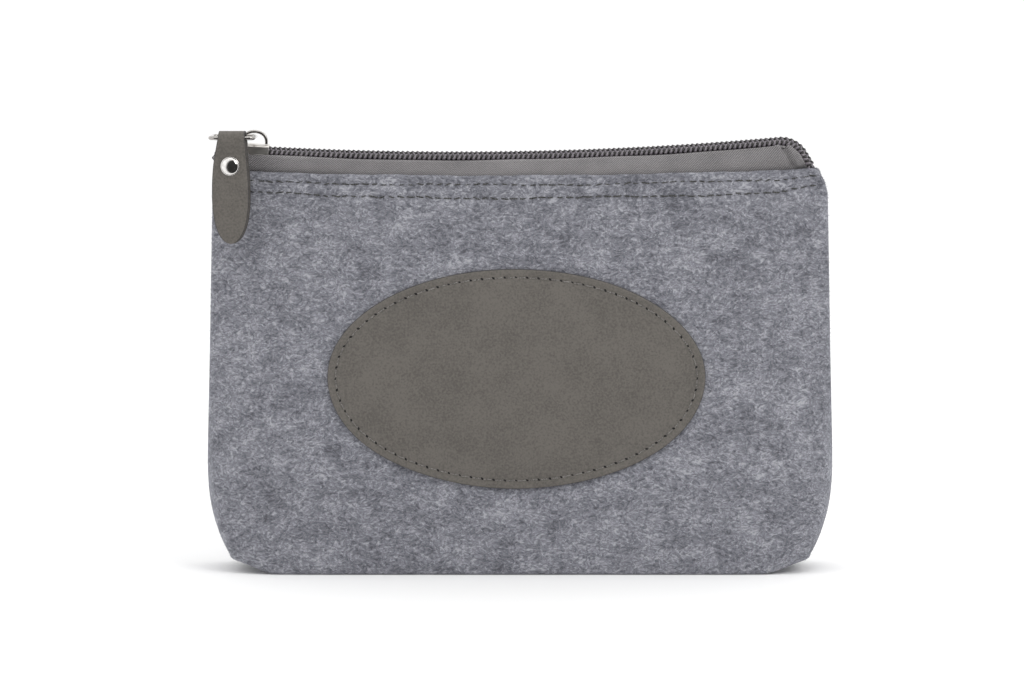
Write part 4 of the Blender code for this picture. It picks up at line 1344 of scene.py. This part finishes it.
def strap_half_width(down):
    share = np.clip(down / STRAP_LENGTH, 0.0, 1.0)
    growth = np.sin(math.pi / 2 * np.minimum(share / STRAP_WIDEST, 1.0) ** STRAP_FLARE)
    tail = np.clip((share - STRAP_WIDEST) / (1.0 - STRAP_WIDEST), 0.0, 1.0)
    upper = (STRAP_TOP_WIDTH + (STRAP_WIDTH - STRAP_TOP_WIDTH) * growth) / 2
    lower = STRAP_WIDTH / 2 * np.sqrt(1.0 - tail ** 2.6)
    return np.maximum(np.where(share < STRAP_WIDEST, upper, lower), 0.00025)


def strap_midline():
    """(y, z) of the strap's middle, up its back layer, over the wire and down its front layer."""
    bar = front_bar()
    fold = WIRE_RADIUS + STRAP_FOLD_GAP + STRAP_THICKNESS / 2
    layer = (STRAP_THICKNESS + STRAP_LAYER_GAP) / 2
    top = bar[2] + fold + STRAP_THICKNESS / 2
    tip = top - STRAP_LENGTH
    neck = bar[2] - 3.0 * fold
    rounded_tip = (1.0 - np.cos(np.linspace(0, math.pi / 2, 14))) * 0.30
    share = np.concatenate([rounded_tip, np.linspace(0.34, 1.0, 22)])
    downs = tip + (neck - tip) * share
    turn = np.radians(np.linspace(-25.0, 205.0, 27))
    y = np.concatenate([bar[1] + np.full(len(downs), layer), bar[1] + fold * np.cos(turn),
                        bar[1] - np.full(len(downs), layer)])
    z = np.concatenate([downs, bar[2] + fold * np.sin(turn), downs[::-1]])
    line = np.stack([y, z], axis=1)
    for _ in range(3):
        line[1:-1] = (line[:-2] + 2 * line[1:-1] + line[2:]) / 4
    return line, top


def pull_strap():
    """Folded leatherette strap with softened edges; its back layer shows a little at the right."""
    line, top = strap_midline()
    ahead = unit(np.gradient(line, axis=0))
    normal = np.stack([ahead[:, 1], -ahead[:, 0]], axis=1)
    side_share = np.linspace(-1.0, 1.0, 13)
    edge = 0.0003
    rows = []
    for number, ((y, z), (ny, nz)) in enumerate(zip(line, normal)):
        half = float(strap_half_width(top - z))
        shift = BACK_LAYER_SHIFT if number < len(line) // 2 else 0.0
        soften = min(1.0, half / 0.0015)
        face_x = side_share * (half - edge * soften)
        round_turn = np.radians([-60.0, -30.0, 0.0, 30.0, 60.0])
        right_x = half - edge * soften + edge * soften * np.cos(round_turn)
        tall = STRAP_THICKNESS / 2
        right_n = tall * np.sin(round_turn) / math.sin(math.radians(75))
        xs = np.concatenate([face_x, right_x[::-1], face_x[::-1], -right_x])
        ns = np.concatenate([np.full(13, tall), right_n[::-1], np.full(13, -tall), right_n])
        ends = min(number, len(line) - 1 - number)
        ns = ns * (0.45 + 0.55 * min(1.0, ends / 3))
        lean = STRAP_LEAN * float(smooth_step(1.0 - (top - z) / STRAP_LEAN_LENGTH))
        rows.append(np.stack([STRAP_CENTRE_X + lean + shift + xs, y + ns * ny, z + ns * nz], axis=1))
    count = len(rows[0])
    shape = Shape()
    shape.add(*lofted(rows))
    item = shape.build("pull_strap_leather", LEATHER, math.radians(60))
    item.data.materials.append(LEATHER_EDGE_PAINT_AND_SHADE)
    for polygon in item.data.polygons:
        column = polygon.vertices[0] % count
        if 12 <= column < 18 or column >= 31:
            polygon.material_index = 1
    place_on(item, "strap", ("pull_strap",))


def turned(name, profile, centre, finish):
    """Turn a (radius, y) profile about the Y axis through a centre."""
    around = 64
    turns = 2 * math.pi * np.arange(around) / around
    rings = []
    for radius, y in profile:
        radius = max(radius, 0.00001)
        across, upward = radius * np.cos(turns), radius * np.sin(turns)
        level = np.full(around, centre[1] + y)
        rings.append(np.stack([centre[0] + across, level, centre[2] + upward], axis=1))
    shape = Shape()
    shape.add(*lofted(rings))
    return shape.build(name, finish, math.radians(45))


def rivet():
    """Domed cap with a rolled rim, and the flat disc and shank behind it."""
    _, top = strap_midline()
    bar = front_bar()
    centre = np.array([STRAP_CENTRE_X, bar[1], top - RIVET_DROP])
    face = STRAP_THICKNESS + STRAP_LAYER_GAP / 2
    rim = 0.00026
    profile = [(0.0, -face - RIVET_CAP_HEIGHT)]
    for k in range(1, 15):
        turn = math.pi / 2 * k / 14
        dome = RIVET_CAP_RADIUS - 0.00024
        profile.append((dome * math.sin(turn), -face - 0.0005 - (RIVET_CAP_HEIGHT - 0.0005) * math.cos(turn)))
    for k in range(0, 9):
        turn = math.radians(-60.0 + 190.0 * k / 8)
        reach = RIVET_CAP_RADIUS - rim + rim * math.cos(turn)
        profile.append((reach, -face - rim + rim * math.sin(turn)))
    profile.append((0.0, -face + 0.0001))
    item = turned("rivet_dome", profile, centre, CHROME)
    place_on(item, "strap", ("rivet_cap",))
    back = [
        (0.0, -face + GAP), (RIVET_SHANK_RADIUS, -face + GAP), (RIVET_SHANK_RADIUS, face),
        (RIVET_BASE_RADIUS - 0.0001, face), (RIVET_BASE_RADIUS, face + 0.0001),
        (RIVET_BASE_RADIUS, face + RIVET_BASE_HEIGHT / 2),
        (RIVET_BASE_RADIUS * 0.93, face + RIVET_BASE_HEIGHT * 0.88),
        (RIVET_BASE_RADIUS * 0.8, face + RIVET_BASE_HEIGHT),
        (RIVET_BASE_RADIUS * 0.3, face + RIVET_BASE_HEIGHT * 0.9), (0.0, face + RIVET_BASE_HEIGHT * 0.85),
    ]
    item = turned("rivet_disc", back, centre, CHROME)
    place_on(item, "strap", ("rivet_post",))


def inner_threads():
    for name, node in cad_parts.items():
        if name.endswith(("_seam_thread", "_seam_thread_left", "_seam_thread_right")):
            node.data.materials.clear()
            node.data.materials.append(DARK_THREAD)


# ---------------------------------------------------------------- studio

CAMERA_TARGET = Vector((-0.0026, -0.010, 0.0747))
CAMERA_DISTANCE = 1.229
CAMERA_ELEVATION = math.radians(6.0)
FLOOR_REACH = 4.0
DARK_GAP = Vector((0.42, -0.90, -0.12))
LAMPS = (
    ("key_right", (1.05, -1.05, 1.00), 0.9, 8.5),
    ("fill_left", (-1.15, -0.95, 0.75), 1.0, 0.3),
    ("top", (0.15, -0.25, 1.55), 1.2, 2.8),
)


def studio():
    """A pale floor, white surroundings with one soft dark gap that metal mirrors, and three lamps."""
    floor_mesh = bpy.data.meshes.new("floor")
    floor_mesh.from_pydata(
        [(-FLOOR_REACH, -FLOOR_REACH, 0.0), (FLOOR_REACH, -FLOOR_REACH, 0.0),
         (FLOOR_REACH, FLOOR_REACH, 0.0), (-FLOOR_REACH, FLOOR_REACH, 0.0)],
        [], [(0, 1, 2, 3)],
    )
    floor = bpy.data.objects.new("floor", floor_mesh)
    bpy.context.collection.objects.link(floor)
    pale, _, _ = new_material("pale_floor", Base_Color=(0.95, 0.95, 0.95, 1.0), Roughness=0.9)
    floor_mesh.materials.append(pale)
    floor.visible_glossy = False

    world = bpy.data.worlds.new("studio_world")
    bpy.context.scene.world = world
    world.use_nodes = True
    tree = world.node_tree
    background = tree.nodes["Background"]
    direction = add_node(tree, "ShaderNodeTexCoord").outputs["Generated"]
    gap = tuple(DARK_GAP.normalized())
    facing = add_node(
        tree, "ShaderNodeVectorMath", {0: direction, 1: gap}, operation="DOT_PRODUCT",
    ).outputs["Value"]
    colour = ramp(tree, facing, [(0.60, (1.0,) * 3), (0.74, (0.03,) * 3)])
    tree.links.new(colour, background.inputs["Color"])
    background.inputs["Strength"].default_value = 1.15

    for name, place, size, power in LAMPS:
        lamp = bpy.data.lights.new(name, "AREA")
        lamp.shape = "SQUARE"
        lamp.size = size
        lamp.energy = power
        item = bpy.data.objects.new(name, lamp)
        item.location = place
        item.rotation_euler = (CAMERA_TARGET - Vector(place)).to_track_quat("-Z", "Y").to_euler()
        bpy.context.collection.objects.link(item)

    lens = bpy.data.cameras.new("camera")
    lens.lens = 135.0
    lens.sensor_width = 36.0
    lens.clip_start = 0.01
    camera = bpy.data.objects.new("camera", lens)
    away = Vector((0.0, -math.cos(CAMERA_ELEVATION), math.sin(CAMERA_ELEVATION)))
    camera.location = CAMERA_TARGET + away * CAMERA_DISTANCE
    camera.rotation_euler = (-away).to_track_quat("-Z", "Y").to_euler()
    bpy.context.collection.objects.link(camera)
    bpy.context.scene.camera = camera
    bpy.context.scene.view_settings.view_transform = "Standard"


# ---------------------------------------------------------------- build

skin, skin_rows = felt_panels()
fibres(skin, skin_rows)
topstitching()
oval_patch()
patch_stitching()
zip_tapes()
zip_coils()
slider_body()
slider_bridge()
pull_ring()
pull_strap()
rivet()
inner_threads()
studio()
